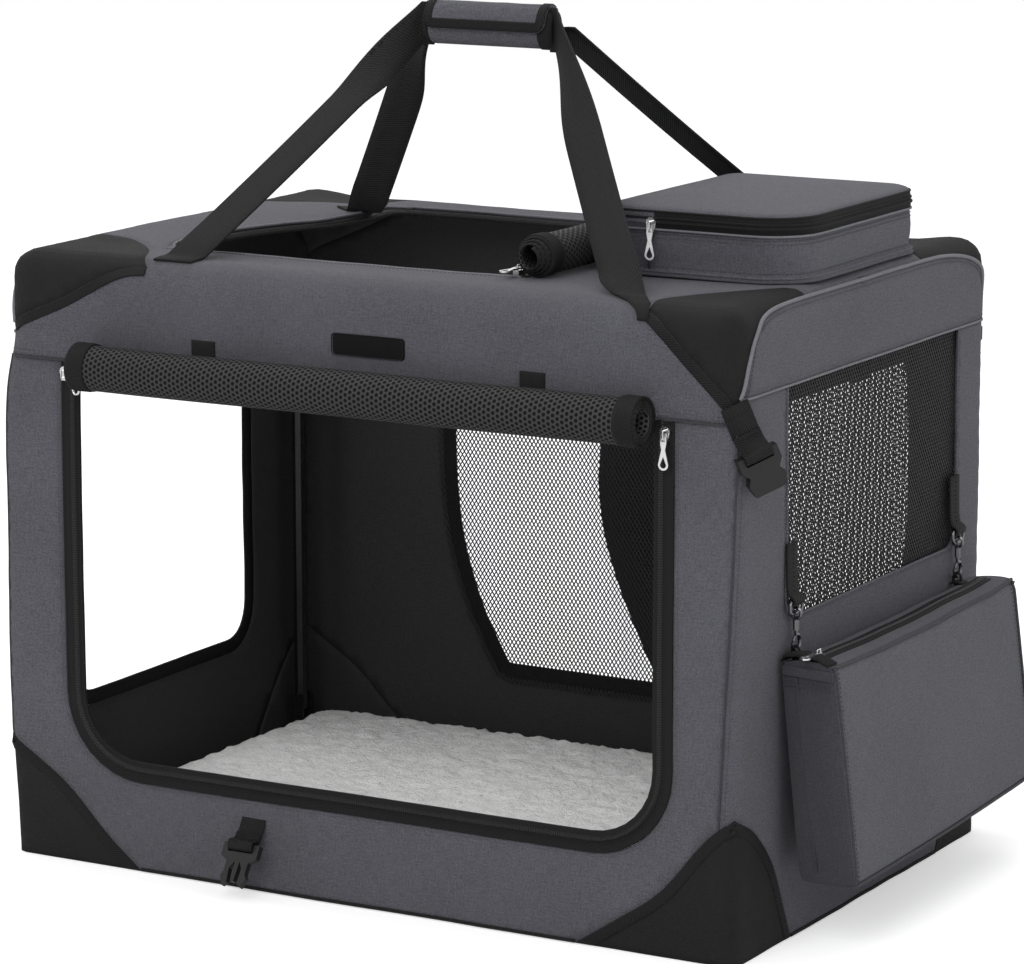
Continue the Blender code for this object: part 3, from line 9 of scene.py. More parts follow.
import bmesh
import bpy
import numpy as np
from mathutils import Matrix, Vector, noise
from mathutils.geometry import delaunay_2d_cdt
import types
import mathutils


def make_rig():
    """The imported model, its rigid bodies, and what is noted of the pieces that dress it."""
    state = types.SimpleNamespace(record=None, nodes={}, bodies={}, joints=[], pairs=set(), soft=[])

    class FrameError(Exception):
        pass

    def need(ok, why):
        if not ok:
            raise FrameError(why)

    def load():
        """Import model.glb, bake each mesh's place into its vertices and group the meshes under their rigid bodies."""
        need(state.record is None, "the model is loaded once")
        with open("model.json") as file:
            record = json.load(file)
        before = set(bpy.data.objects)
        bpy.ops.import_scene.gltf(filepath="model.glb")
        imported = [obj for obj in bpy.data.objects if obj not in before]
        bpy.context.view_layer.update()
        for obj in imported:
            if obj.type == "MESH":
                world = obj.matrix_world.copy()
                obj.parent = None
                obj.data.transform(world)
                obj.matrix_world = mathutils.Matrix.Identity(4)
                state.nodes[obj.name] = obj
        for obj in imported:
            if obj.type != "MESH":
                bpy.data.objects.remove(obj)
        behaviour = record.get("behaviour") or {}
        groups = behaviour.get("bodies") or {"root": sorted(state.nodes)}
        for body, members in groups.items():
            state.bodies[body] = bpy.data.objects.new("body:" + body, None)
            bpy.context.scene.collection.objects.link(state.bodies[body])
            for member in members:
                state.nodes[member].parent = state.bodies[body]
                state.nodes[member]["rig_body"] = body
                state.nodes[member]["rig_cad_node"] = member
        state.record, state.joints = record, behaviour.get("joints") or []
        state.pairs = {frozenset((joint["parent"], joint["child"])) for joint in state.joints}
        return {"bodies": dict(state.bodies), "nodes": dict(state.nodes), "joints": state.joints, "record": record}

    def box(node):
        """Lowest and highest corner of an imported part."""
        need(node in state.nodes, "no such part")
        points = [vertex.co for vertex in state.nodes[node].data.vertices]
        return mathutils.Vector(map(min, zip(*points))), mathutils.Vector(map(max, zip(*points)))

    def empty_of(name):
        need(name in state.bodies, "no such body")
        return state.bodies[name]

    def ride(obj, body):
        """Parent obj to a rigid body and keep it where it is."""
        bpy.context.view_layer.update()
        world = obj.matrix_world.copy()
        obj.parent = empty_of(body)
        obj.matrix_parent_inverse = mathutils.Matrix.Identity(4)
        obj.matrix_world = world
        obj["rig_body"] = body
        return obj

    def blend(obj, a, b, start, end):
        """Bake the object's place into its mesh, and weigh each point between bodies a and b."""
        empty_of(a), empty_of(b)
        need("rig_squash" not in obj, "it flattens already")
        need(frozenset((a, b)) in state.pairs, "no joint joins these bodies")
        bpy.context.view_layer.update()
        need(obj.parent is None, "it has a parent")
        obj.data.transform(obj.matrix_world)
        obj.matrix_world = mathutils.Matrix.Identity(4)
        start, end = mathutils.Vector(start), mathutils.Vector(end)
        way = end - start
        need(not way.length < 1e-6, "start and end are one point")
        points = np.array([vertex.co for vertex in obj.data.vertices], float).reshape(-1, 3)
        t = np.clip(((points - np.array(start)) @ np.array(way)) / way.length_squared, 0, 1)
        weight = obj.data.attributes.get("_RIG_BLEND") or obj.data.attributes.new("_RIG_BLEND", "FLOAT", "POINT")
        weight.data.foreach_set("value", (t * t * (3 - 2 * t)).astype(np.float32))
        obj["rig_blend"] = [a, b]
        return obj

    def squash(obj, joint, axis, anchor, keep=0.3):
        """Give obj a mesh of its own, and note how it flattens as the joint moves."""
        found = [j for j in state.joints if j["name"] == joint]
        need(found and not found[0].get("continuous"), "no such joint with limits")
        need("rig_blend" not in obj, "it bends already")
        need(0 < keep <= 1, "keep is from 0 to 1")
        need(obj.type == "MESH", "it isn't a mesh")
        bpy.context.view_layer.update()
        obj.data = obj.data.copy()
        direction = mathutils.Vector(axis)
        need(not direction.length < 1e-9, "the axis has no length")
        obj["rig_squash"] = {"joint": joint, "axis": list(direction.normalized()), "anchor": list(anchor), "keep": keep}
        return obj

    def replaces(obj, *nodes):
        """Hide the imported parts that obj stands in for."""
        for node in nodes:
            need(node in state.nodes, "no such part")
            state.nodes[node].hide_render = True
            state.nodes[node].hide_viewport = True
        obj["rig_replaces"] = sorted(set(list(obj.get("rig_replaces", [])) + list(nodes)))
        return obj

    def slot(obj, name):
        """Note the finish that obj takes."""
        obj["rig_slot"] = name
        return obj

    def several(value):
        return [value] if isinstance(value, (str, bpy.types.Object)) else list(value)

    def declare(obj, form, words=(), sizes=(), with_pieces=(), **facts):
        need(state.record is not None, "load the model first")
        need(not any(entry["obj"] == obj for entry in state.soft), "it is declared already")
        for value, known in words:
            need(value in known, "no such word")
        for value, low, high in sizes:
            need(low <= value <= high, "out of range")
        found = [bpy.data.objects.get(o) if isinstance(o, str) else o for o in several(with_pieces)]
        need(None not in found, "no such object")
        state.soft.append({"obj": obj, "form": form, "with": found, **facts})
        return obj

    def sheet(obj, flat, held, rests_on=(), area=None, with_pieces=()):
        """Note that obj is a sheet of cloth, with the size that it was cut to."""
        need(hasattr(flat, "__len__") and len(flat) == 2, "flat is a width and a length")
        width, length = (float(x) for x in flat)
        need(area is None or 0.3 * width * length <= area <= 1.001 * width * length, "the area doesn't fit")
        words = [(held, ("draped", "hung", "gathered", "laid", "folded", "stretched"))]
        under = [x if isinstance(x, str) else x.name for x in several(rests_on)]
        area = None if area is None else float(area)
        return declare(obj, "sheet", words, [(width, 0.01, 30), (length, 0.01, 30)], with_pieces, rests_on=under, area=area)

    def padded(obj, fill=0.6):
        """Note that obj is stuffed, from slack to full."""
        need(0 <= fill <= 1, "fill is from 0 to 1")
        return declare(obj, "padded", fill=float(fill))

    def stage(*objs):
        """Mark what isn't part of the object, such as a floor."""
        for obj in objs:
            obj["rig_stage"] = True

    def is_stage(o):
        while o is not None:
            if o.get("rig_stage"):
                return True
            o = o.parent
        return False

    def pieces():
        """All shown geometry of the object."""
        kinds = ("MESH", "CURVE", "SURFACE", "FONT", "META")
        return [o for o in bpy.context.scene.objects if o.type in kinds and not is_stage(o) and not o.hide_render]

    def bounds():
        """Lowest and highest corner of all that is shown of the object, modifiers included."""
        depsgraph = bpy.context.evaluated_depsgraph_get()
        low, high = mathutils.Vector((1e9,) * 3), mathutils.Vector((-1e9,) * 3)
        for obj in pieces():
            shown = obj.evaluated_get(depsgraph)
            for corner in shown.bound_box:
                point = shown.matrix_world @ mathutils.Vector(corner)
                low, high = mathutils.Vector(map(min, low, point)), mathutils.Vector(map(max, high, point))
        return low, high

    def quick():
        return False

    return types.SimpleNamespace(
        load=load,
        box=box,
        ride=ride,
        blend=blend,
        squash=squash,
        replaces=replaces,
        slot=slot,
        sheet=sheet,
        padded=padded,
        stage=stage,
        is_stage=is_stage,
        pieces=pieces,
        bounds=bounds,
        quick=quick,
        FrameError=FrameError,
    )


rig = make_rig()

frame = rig.load()
CAD_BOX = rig.bounds()

# The crate's outer sizes
HALF_X = 0.700 / 2
HALF_Y = 0.488 / 2
HEIGHT = 0.535
EDGE = 0.0235
LOW_EDGE = 0.010
LEFT_BULGE = 0.008
BACK_SAG = 0.004
CLOTH = 0.0018
FRONT_SEAM = 0.443
SIDE_SEAM = 0.4625

# How far each kind of piece flattens when the crate folds
FOLD = "left_frame_fold"
FRONT_KEEP = 0.185
SIDE_KEEP = 0.22
PATCH_KEEP = 0.20
MAT_KEEP = 0.72
STRAP_KEEP = 0.25

EAST, NORTH, UP = Vector((1, 0, 0)), Vector((0, 1, 0)), Vector((0, 0, 1))


# Materials


def add_node(tree, kind, inputs=(), **settings):
    """A node with its settings and its inputs, which are numbers, colours or outputs."""
    node = tree.nodes.new(kind)
    for key, value in settings.items():
        setattr(node, key, value)
    for socket, value in dict(inputs).items():
        if isinstance(value, bpy.types.NodeSocket):
            tree.links.new(value, node.inputs[socket])
        else:
            node.inputs[socket].default_value = value
    return node


class Nodes:
    """Builds one material's nodes: each call adds a node and returns its output."""

    def __init__(self, name, roughness, metallic=0.0, sheen=0.0, specular=0.5):
        self.material = bpy.data.materials.new(name)
        self.material.use_nodes = True
        self.tree = self.material.node_tree
        self.shader = self.tree.nodes["Principled BSDF"]
        settings = {"Roughness": roughness, "Metallic": metallic, "Specular IOR Level": specular}
        if sheen:
            settings.update({"Sheen Weight": sheen, "Sheen Roughness": 0.45})
        for socket, value in settings.items():
            self.shader.inputs[socket].default_value = value

    def link(self, output, node, socket):
        """Joins an output to a node's input."""
        self.tree.links.new(output, node.inputs[socket])

    def add(self, kind, inputs=(), **settings):
        """One of the material's own nodes."""
        return add_node(self.tree, kind, inputs, **settings)

    def math(self, operation, *values):
        """The result of one sum."""
        return self.add("ShaderNodeMath", dict(enumerate(values)), operation=operation).outputs[0]

    def times(self, first, second):
        """A product."""
        return self.math("MULTIPLY", first, second)

    def plus(self, first, second):
        """A sum."""
        return self.math("ADD", first, second)

    def wave(self, value, length):
        """A sine wave of a length in metres."""
        return self.math("SINE", self.times(value, 2 * math.pi / length))

    def mapped(self, scale):
        """The piece's flat coordinates in metres, times a scale in each direction."""
        place = self.add("ShaderNodeUVMap").outputs[0]
        return self.add("ShaderNodeMapping", {0: place, 3: scale}).outputs[0]

    def flat(self):
        """The piece's flat coordinates in metres, one by one."""
        return self.add("ShaderNodeSeparateXYZ", {0: self.mapped((1, 1, 1))}).outputs

    def solid(self):
        """The object's own coordinates in metres."""
        return self.add("ShaderNodeTexCoord").outputs["Object"]

    def noise(self, place, scale, detail=3.0, roughness=0.55):
        """Smooth noise from 0 to 1."""
        return self.add("ShaderNodeTexNoise", {"Vector": place, "Scale": scale, "Detail": detail,
                                               "Roughness": roughness}).outputs[0]

    def fuzz(self, across, along, detail=2.0):
        """Noise of the cloth itself, with its number of grains to the metre both ways."""
        return self.noise(self.mapped((across, along, 1)), 1.0, detail)

    def mix(self, factor, first, second):
        """A colour between two colours."""
        ends = {6: first, 7: second}
        ends = {k: (*c, 1.0) if isinstance(c, tuple) else c for k, c in ends.items()}
        return self.add("ShaderNodeMix", {0: factor, **ends}, data_type="RGBA").outputs[2]

    def ramp(self, value, low, high, out_low=0.0, out_high=1.0):
        """A value between low and high spread over another range, and held at its ends."""
        return self.add("ShaderNodeMapRange", {0: value, 1: low, 2: high, 3: out_low,
                                               4: out_high}).outputs[0]

    def finish(self, colour, height, depth, roughness=None):
        """Links colour, bump and roughness to the shader."""
        self.link(colour, self.shader, "Base Color")
        bump = self.add("ShaderNodeBump", {"Strength": 1.0, "Distance": depth, "Height": height})
        self.link(bump.outputs[0], self.shader, "Normal")
        if roughness is not None:
            self.link(roughness, self.shader, "Roughness")
        return self.material


def cloth_material(name, dark, light, pitch=0.0017, sheen=0.08):
    """Woven polyester: crossing threads, streaks of lighter yarn and a little rubbing."""
    nodes = Nodes(name, 0.85, sheen=sheen, specular=0.25)
    warp, weft = nodes.flat()[:2]
    weave = nodes.times(nodes.wave(warp, pitch), nodes.wave(weft, pitch))
    yarn = nodes.times(nodes.plus(nodes.fuzz(900, 90), nodes.fuzz(90, 900)), 0.5)
    worn = nodes.noise(nodes.solid(), 9.0, 4.0)
    level = nodes.plus(nodes.times(weave, 0.16), yarn)
    level = nodes.plus(level, nodes.math("MULTIPLY_ADD", worn, 0.4, -0.2))
    level = nodes.plus(level, nodes.math("MULTIPLY_ADD", nodes.fuzz(620, 620, 1.0), 0.9, -0.45))
    colour = nodes.mix(nodes.ramp(level, 0.2, 0.8), dark, light)
    height = nodes.plus(weave, nodes.times(yarn, 1.5))
    return nodes.finish(colour, height, 0.00022, nodes.ramp(worn, 0.3, 0.7, 0.78, 0.92))


def webbing_material(name, dark, light):
    """Close ribbed webbing with slanting ribs."""
    nodes = Nodes(name, 0.72, specular=0.22)
    along, across = nodes.flat()[:2]
    ribs = nodes.wave(nodes.plus(along, nodes.times(across, 0.9)), 0.0026)
    fuzz = nodes.fuzz(700, 700)
    height = nodes.plus(nodes.times(ribs, 0.9), nodes.times(nodes.wave(across, 0.0034), 0.15))
    level = nodes.plus(nodes.times(height, 0.3), fuzz)
    colour = nodes.mix(nodes.ramp(level, 0.2, 0.9), dark, light)
    return nodes.finish(colour, height, 0.0003, nodes.ramp(fuzz, 0.3, 0.7, 0.65, 0.82))


def mesh_material(name, pitch, dark, light):
    """Knitted spacer mesh: staggered round holes between rounded strands, the holes painted near-black as painted shade
    of the inner turns behind them.
    """
    nodes = Nodes(name, 0.7, specular=0.25)
    along, across = nodes.flat()[:2]
    turn = 2 * math.pi / pitch
    total = nodes.math("COSINE", nodes.times(along, turn))
    for side in (1, -1):
        lean = nodes.math("MULTIPLY_ADD", across, side * turn * math.sqrt(0.75),
                          nodes.times(along, turn / 2))
        total = nodes.plus(total, nodes.math("COSINE", lean))
    hole = nodes.ramp(total, -0.45, 0.55)
    fuzz = nodes.fuzz(900, 900)
    # Painted shade: the holes take a near-black colour for the shaded inner turns of the roll seen through them.
    colour = nodes.mix(hole, nodes.mix(fuzz, dark, light), (0.0015, 0.0015, 0.0016))
    height = nodes.math("SUBTRACT", nodes.times(fuzz, 0.25), hole)
    return nodes.finish(colour, height, 0.0008, nodes.ramp(hole, 0.0, 1.0, 0.55, 0.95))


def fleece_material(name, dark, light):
    """White pile in soft curly clumps, with painted shade: the colour darkens where the pile is low between clumps."""
    nodes = Nodes(name, 0.95, sheen=0.4, specular=0.15)
    clumps = nodes.noise(nodes.solid(), 90.0, 4.0, 0.65)
    hairs = nodes.noise(nodes.solid(), 420.0, 3.0, 0.7)
    level = nodes.math("MULTIPLY_ADD", hairs, 0.35, nodes.times(clumps, 0.65))
    # Painted shade: level sets both the bump and the colour, so the low parts between clumps take the darker colour.
    return nodes.finish(nodes.mix(nodes.ramp(level, 0.33, 0.50), dark, light), level, 0.006)


def plastic_material(name, dark, light, roughness=0.42, specular=0.35):
    """Moulded plastic with a fine grain."""
    nodes = Nodes(name, roughness, specular=specular)
    cloud = nodes.noise(nodes.solid(), 60.0, 3.0)
    rough = nodes.ramp(cloud, 0.3, 0.7, roughness - 0.06, roughness + 0.1)
    grain = nodes.noise(nodes.solid(), 1800.0, 2.0)
    return nodes.finish(nodes.mix(cloud, dark, light), grain, 0.00005, rough)


def metal_material(name, dark, light, roughness, metallic=1.0):
    """Plated or powder-coated metal with faint scuffs."""
    nodes = Nodes(name, roughness, metallic)
    scuffs = nodes.noise(nodes.solid(), 420.0, 4.0, 0.7)
    cloud = nodes.noise(nodes.solid(), 35.0, 2.0)
    rough = nodes.ramp(scuffs, 0.3, 0.7, roughness * 0.8, roughness * 1.35)
    return nodes.finish(nodes.mix(cloud, dark, light), scuffs, 0.00002, rough)


GREY = cloth_material("grey_oxford", (0.052, 0.052, 0.062), (0.122, 0.122, 0.143))
GREY_DARK = cloth_material("grey_oxford_gusset", (0.028, 0.028, 0.033), (0.056, 0.056, 0.065))
BLACK = cloth_material("black_oxford", (0.0065, 0.0065, 0.0064), (0.0135, 0.0135, 0.0131), sheen=0.0)
# The lining is painted lighter than its own black, as painted light for the dim inside of the crate.
LINING_PAINTED_LIGHTER = cloth_material("black_lining_painted_lighter", (0.031, 0.031, 0.0315), (0.050, 0.050, 0.051), 0.0014, 0.0)
PIPING = cloth_material("grey_piping", (0.15, 0.15, 0.168), (0.22, 0.22, 0.245), 0.0012)
TAPE = webbing_material("black_tape", (0.0035, 0.0035, 0.0036), (0.0115, 0.0115, 0.0118))
WEBBING = webbing_material("black_webbing_weave", (0.0035, 0.0035, 0.0036), (0.0175, 0.0175, 0.018))
ROLL_MESH = mesh_material("door_mesh", 0.0042, (0.015, 0.015, 0.0147), (0.050, 0.050, 0.049))
# The pile's own white is raised further as painted light for the dim inside of the crate; the darker white is also the
# painted shade between clumps.
FLEECE = fleece_material("white_pile", (0.80, 0.795, 0.785), (0.985, 0.98, 0.975))
NET = plastic_material("net_strands", (0.008, 0.008, 0.0085), (0.020, 0.020, 0.021), 0.6)
THREAD = plastic_material("thread_grey", (0.030, 0.030, 0.035), (0.070, 0.070, 0.08), 0.7)
BLACK_THREAD = plastic_material("thread_black", (0.008, 0.008, 0.0082), (0.022, 0.022, 0.0225), 0.7)
COIL = plastic_material("zip_coil", (0.008, 0.008, 0.0085), (0.018, 0.018, 0.019), 0.35)
PLASTIC = plastic_material("buckle_plastic", (0.0055, 0.0055, 0.0057), (0.011, 0.011, 0.0113))
PLATE = plastic_material("label_plate", (0.0015, 0.0015, 0.0017), (0.003, 0.003, 0.0032), 0.55, 0.12)
STEEL = metal_material("coated_tube", (0.012, 0.012, 0.013), (0.024, 0.024, 0.026), 0.3, 0.4)
BRIGHT = metal_material("bright_plating", (0.62, 0.62, 0.63), (0.80, 0.80, 0.80), 0.2)
DARK_METAL = metal_material("dark_plating", (0.10, 0.10, 0.105), (0.20, 0.20, 0.21), 0.26)

SLOTS = {
    "grey_cloth": (GREY, GREY_DARK, PIPING, THREAD),
    "black_cloth": (BLACK, LINING_PAINTED_LIGHTER, TAPE, BLACK_THREAD),
    "black_webbing": (WEBBING,),
    "black_net": (NET, ROLL_MESH),
    "white_fleece": (FLEECE,),
    "black_plastic": (PLATE,),
    "bright_metal": (BRIGHT, DARK_METAL),
}


# The crate's outer skin


def on_box(face, u, v):
    """A point of one face of the crate's sharp-edged box."""
    return {
        "front": Vector((u, -HALF_Y, v)),
        "back": Vector((u, HALF_Y, v)),
        "left": Vector((-HALF_X, u, v)),
        "right": Vector((HALF_X, u, v)),
        "top": Vector((u, v, HEIGHT)),
    }[face]


def ease(share):
    """A smooth step from 0 to 1."""
    share = min(max(share, 0.0), 1.0)
    return share * share * (3 - 2 * share)


def skin(q, lift=0.0):
    """Where a point of the sharp box lies on the soft crate, and the way out from there."""
    fullness = 1.0 if q.x > 0 and q.y > 0 else ease((q.z - 0.41) / 0.055)
    radius = LOW_EDGE + (EDGE - LOW_EDGE) * fullness
    core = Vector((min(max(q.x, radius - HALF_X), HALF_X - radius),
                   min(max(q.y, radius - HALF_Y), HALF_Y - radius), min(q.z, HEIGHT - radius)))
    normal = (q - core).normalized()
    billow = 0.0011 * noise.noise(q * 8.0) + 0.0005 * noise.noise(q * 31.0)
    place = core + normal * (radius + billow + lift)
    belly = 1.0 + 0.7 * ease(q.z / 0.15) * ease((0.47 - q.z) / 0.12)
    place.x -= LEFT_BULGE * belly * ease((-0.290 - q.x) / 0.06)
    middle = ease((0.325 - abs(q.x)) / 0.04)
    place.z -= BACK_SAG * middle * ease((q.y - 0.135) / 0.05) * ease((q.z - 0.49) / 0.04)
    return place, normal


# Lines and outlines


def densify(points, step, closed=False):
    """The same line with extra points, so that no two are further apart than step."""
    result = []
    for i in range(len(points) if closed else len(points) - 1):
        first, second = points[i], points[(i + 1) % len(points)]
        pieces = max(1, math.ceil((second - first).length / step - 1e-6))
        result += [first.lerp(second, j / pieces) for j in range(pieces)]
    return result if closed else result + [points[-1]]


def smooth(points, step=0.006):
    """A smooth curve through points."""
    line = [Vector(p) for p in points]
    line = [line[0] * 2 - line[1]] + line + [line[-1] * 2 - line[-2]]
    result = []
    for a, b, c, d in zip(line, line[1:], line[2:], line[3:]):
        pieces = max(1, round((c - b).length / step))
        for j in range(pieces):
            t = j / pieces
            result.append(0.5 * (2 * b + (c - a) * t + (2 * a - 5 * b + 4 * c - d) * t * t
                                 + (3 * b - a - 3 * c + d) * t ** 3))
    return result + [line[-2]]


def run_at(line, i, closed=False):
    """The direction of a line at one of its points."""
    last = len(line) - 1
    after = line[(i + 1) % (last + 1) if closed else min(i + 1, last)]
    before = line[i - 1 if closed else max(i - 1, 0)]
    return (after - before).normalized()


def turns(count):
    """Evenly spaced angles all the way round."""
    return [2 * math.pi * i / count for i in range(count)]


def arc(x, y, radius, start, steps):
    """Points on a quarter of a circle, from start degrees on."""
    angles = [math.radians(start + 90 * i / steps) for i in range(steps + 1)]
    return [Vector((x + radius * math.cos(a), y + radius * math.sin(a))) for a in angles]


def round_box(low, high, radii, steps=4):
    """A closed outline with round corners, from its right front one on."""
    result = []
    for k, radius in enumerate(radii):
        x = high[0] - radius if k < 2 else low[0] + radius
        y = high[1] - radius if k in (1, 2) else low[1] + radius
        result += arc(x, y, radius, 270 + 90 * k, steps)
    return result


def open_top(left, right, sill, top, radius):
    """A doorway's outline from its top left round its lower corners to its top right."""
    low = arc(left + radius, sill + radius, radius, 180, 8)
    low += arc(right - radius, sill + radius, radius, 270, 8)
    return [Vector((left, top))] + low + [Vector((right, top))]


def mirrored(curve):
    """The same curve with its first direction turned round."""
    return [Vector((-u, v)) for u, v in curve]


def flipped(curve):
    """The same curve with its second direction turned round."""
    return [Vector((u, -v)) for u, v in curve]


def swapped(curve):
    """The same curve with its two directions exchanged."""
    return [Vector((v, u)) for u, v in curve]


def above(curve, level):
    """The part of a rising curve above a level."""
    for i in range(len(curve) - 1):
        if curve[i][1] <= level < curve[i + 1][1]:
            share = (level - curve[i][1]) / (curve[i + 1][1] - curve[i][1])
            return [curve[i].lerp(curve[i + 1], share)] + curve[i + 1:]
    return curve


def below(curve, level):
    """The part of a rising curve below a level."""
    upper = above(curve, level)
    return curve[:len(curve) - len(upper) + 1] + [upper[0]]


def inset(outline, distance):
    """An open doorway outline moved inwards."""
    runs = [run_at(outline, i) for i in range(len(outline))]
    return [Vector((p[0] - run.y * distance, p[1] + run.x * distance))
            for p, run in zip(outline, runs)]


def capped(outline, top):
    """An outline with nothing above a level."""
    return [Vector((u, min(v, top))) for u, v in outline]


def inside(points, loop):
    """Whether each point lies in a closed loop."""
    x, y = points[:, 0], points[:, 1]
    result = np.zeros(len(points), bool)
    for (x1, y1), (x2, y2) in zip(loop, np.roll(loop, -1, 0)):
        crosses = (y1 > y) != (y2 > y)
        at = x1 + (y - y1) * (x2 - x1) / ((y2 - y1) or 1e-12)
        result ^= crosses & (x < at)
    return result


def fill(outline, holes=(), step=0.010):
    """Points and triangles of a flat shape with holes, and its area."""
    loops = [densify([Vector(p) for p in loop], step, True) for loop in (outline, *holes)]
    points, edges = [], []
    for loop in loops:
        start = len(points)
        points += loop
        edges += [(start + i, start + (i + 1) % len(loop)) for i in range(len(loop))]
    rim = np.array(points)
    low, high = rim.min(0), rim.max(0)
    grid = []
    for row, v in enumerate(np.arange(low[1] + step / 2, high[1], step * 0.87)):
        shift = step / 2 if row % 2 else 0.0
        grid += [(u, v) for u in np.arange(low[0] + step / 2 + shift, high[0], step)]
    grid = np.array(grid).reshape(-1, 2)

    def covered(places):
        result = inside(places, np.array(loops[0]))
        for hole in loops[1:]:
            result &= ~inside(places, np.array(hole))
        return result

    grid = grid[covered(grid)]
    gaps = np.array([np.hypot(*(rim - g).T).min() for g in grid])
    grid = grid[gaps > step * 0.45] if len(grid) else grid
    found = delaunay_2d_cdt(points + [Vector(g) for g in grid], edges, [], 0, 1e-7)
    places, triangles = found[0], found[2]
    middles = np.array([np.mean([places[i] for i in t], axis=0) for t in triangles])
    result, area = [], 0.0
    for (a, b, c), keep in zip(triangles, covered(middles)):
        turn = (places[b] - places[a]).cross(places[c] - places[a])
        if keep:
            result.append((a, b, c) if turn > 0 else (a, c, b))
            area += abs(turn) / 2
    return places, result, area


# Making and placing a mesh


class Shape:
    """A mesh in the making, with flat coordinates in metres for its weave."""

    def __init__(self):
        self.bm = bmesh.new()
        self.layer = self.bm.loops.layers.uv.new("UVMap")

    def points(self, places):
        """One corner at each place."""
        return [self.bm.verts.new(place) for place in places]

    def face(self, verts, flat=(), slot=0, soft=False):
        """A face between corners, with a flat place for each."""
        made = self.bm.faces.new(verts)
        made.material_index = slot
        made.smooth = soft
        for loop, place in zip(made.loops, flat):
            loop[self.layer].uv = place
        return made

    def bridge(self, first, second, flat=None, slot=0, soft=False, closed=True):
        """Faces between two rows. flat has the first row's flat places and the second's."""
        made = []
        for i in range(len(first) if closed else len(first) - 1):
            j = (i + 1) % len(first)
            places = ()
            if flat:
                k = (i + 1) % len(flat[0])
                places = (flat[0][i], flat[0][k], flat[1][k], flat[1][i])
            made.append(self.face((first[i], first[j], second[j], second[i]), places, slot, soft))
        return made

    def fan(self, row, peak, slot=0):
        """Triangles from a closed row to one corner."""
        return [self.face((row[i - 1], row[i], peak), slot=slot) for i in range(len(row))]

    def lay(self, faces, flat):
        """Takes the flat places of faces from where their corners are."""
        for made in faces:
            for loop in made.loops:
                loop[self.layer].uv = flat(loop.vert.co)

    def sheet(self, outline, place, holes=(), step=0.010, turned=False):
        """A flat shape put in space by place, and its area."""
        places, triangles, area = fill(outline, holes, step)
        verts = self.points(place(*p) for p in places)
        for triangle in triangles:
            order = triangle[::-1] if turned else triangle
            self.face([verts[i] for i in order], [places[i] for i in order])
        return area

    def tube(self, rings):
        """A surface through closed rings, as its rows of corners."""
        rows = [self.points(ring) for ring in rings]
        runs, rise = [0.0], 0.0
        for i, vert in enumerate(rows[0]):
            runs.append(runs[-1] + (rows[0][(i + 1) % len(rows[0])].co - vert.co).length)
        for first, second in zip(rows, rows[1:]):
            top = rise + (second[0].co - first[0].co).length
            self.bridge(first, second, ([(run, rise) for run in runs], [(run, top) for run in runs]))
            rise = top
        return rows

    def dome(self, rim, shares, place, peak, flat, slot=0):
        """Closes a rim with rings that shrink to its middle. place moves each ring's points out."""
        middle = sum((v.co for v in rim), Vector()) / len(rim)
        previous = rim
        for share in shares:
            ring = self.points(place(vert.co.lerp(middle, share), share) for vert in rim)
            self.lay(self.bridge(previous, ring, slot=slot), flat)
            previous = ring
        self.lay(self.fan(previous, self.points([middle + peak])[0], slot), flat)

    def sweep(self, frames, profile, closed=False):
        """A closed profile of (across, out) pairs swept along frames."""
        rows, run = [], 0.0
        for i, (point, normal, across) in enumerate(frames):
            run += (point - frames[i - 1][0]).length if i else 0.0
            row = self.points(point + across * s + normal * h for s, h in profile)
            rows.append((row, [(run, s) for s, _ in profile]))
        if closed:
            run += (frames[0][0] - frames[-1][0]).length
            rows.append((rows[0][0], [(run, s) for s, _ in profile]))
        else:
            self.face(rows[0][0])
            self.face(rows[-1][0])
        for (first, low), (second, high) in zip(rows, rows[1:]):
            self.bridge(first, second, (low, high), soft=True)

    def stitch(self, frames, offset=0.0, height=0.0004):
        """A row of short stitches beside a line."""
        for point, normal, across, along in beads(frames, 0.0038, 0.0019):
            middle = point + across * offset
            rows = []
            for end, rise in ((-0.5, -0.3), (-0.2, 1.0), (0.2, 1.0), (0.5, -0.3)):
                centre = middle + along * (end * 0.0024)
                rows.append(self.points((centre - across * 0.0003 - normal * 0.0002,
                                         centre + normal * height * rise,
                                         centre + across * 0.0003 - normal * 0.0002)))
            for first, second in zip(rows, rows[1:]):
                self.bridge(first, second)
            self.face(rows[0])
            self.face(rows[-1])

    def teeth(self, frames):
        """The ribs of a zip's coil."""
        profile = ((-0.0023, 0.0016), (-0.0012, 0.0030), (0.0012, 0.0030), (0.0023, 0.0016))
        for point, normal, across, along in beads(frames, 0.0021, 0.0):
            rows = [self.points(point + along * end + across * s + normal * h for s, h in profile)
                    for end in (-0.0006, 0.0006)]
            self.bridge(*rows, slot=1)
            self.face(rows[0], slot=1)
            self.face(rows[1], slot=1)

    def wire(self, points, radius):
        """A closed wire along points."""
        rows = []
        for i, point in enumerate(points):
            run = run_at(points, i, True)
            side = run.cross(EAST)
            side = (side if side.length > 0.2 else run.cross(NORTH)).normalized()
            out = side.cross(run)
            rows.append(self.points(point + (side * math.cos(a) + out * math.sin(a)) * radius
                                    for a in turns(8)))
        for first, second in zip(rows, rows[1:] + rows[:1]):
            self.bridge(first, second, soft=True)

    def cut_at_floor(self):
        """Takes off what would reach below the floor."""
        bmesh.ops.bisect_plane(self.bm, geom=self.bm.verts[:] + self.bm.edges[:] + self.bm.faces[:],
                               dist=1e-7, plane_co=(0, 0, 0.0003), plane_no=(0, 0, -1),
                               clear_outer=True)

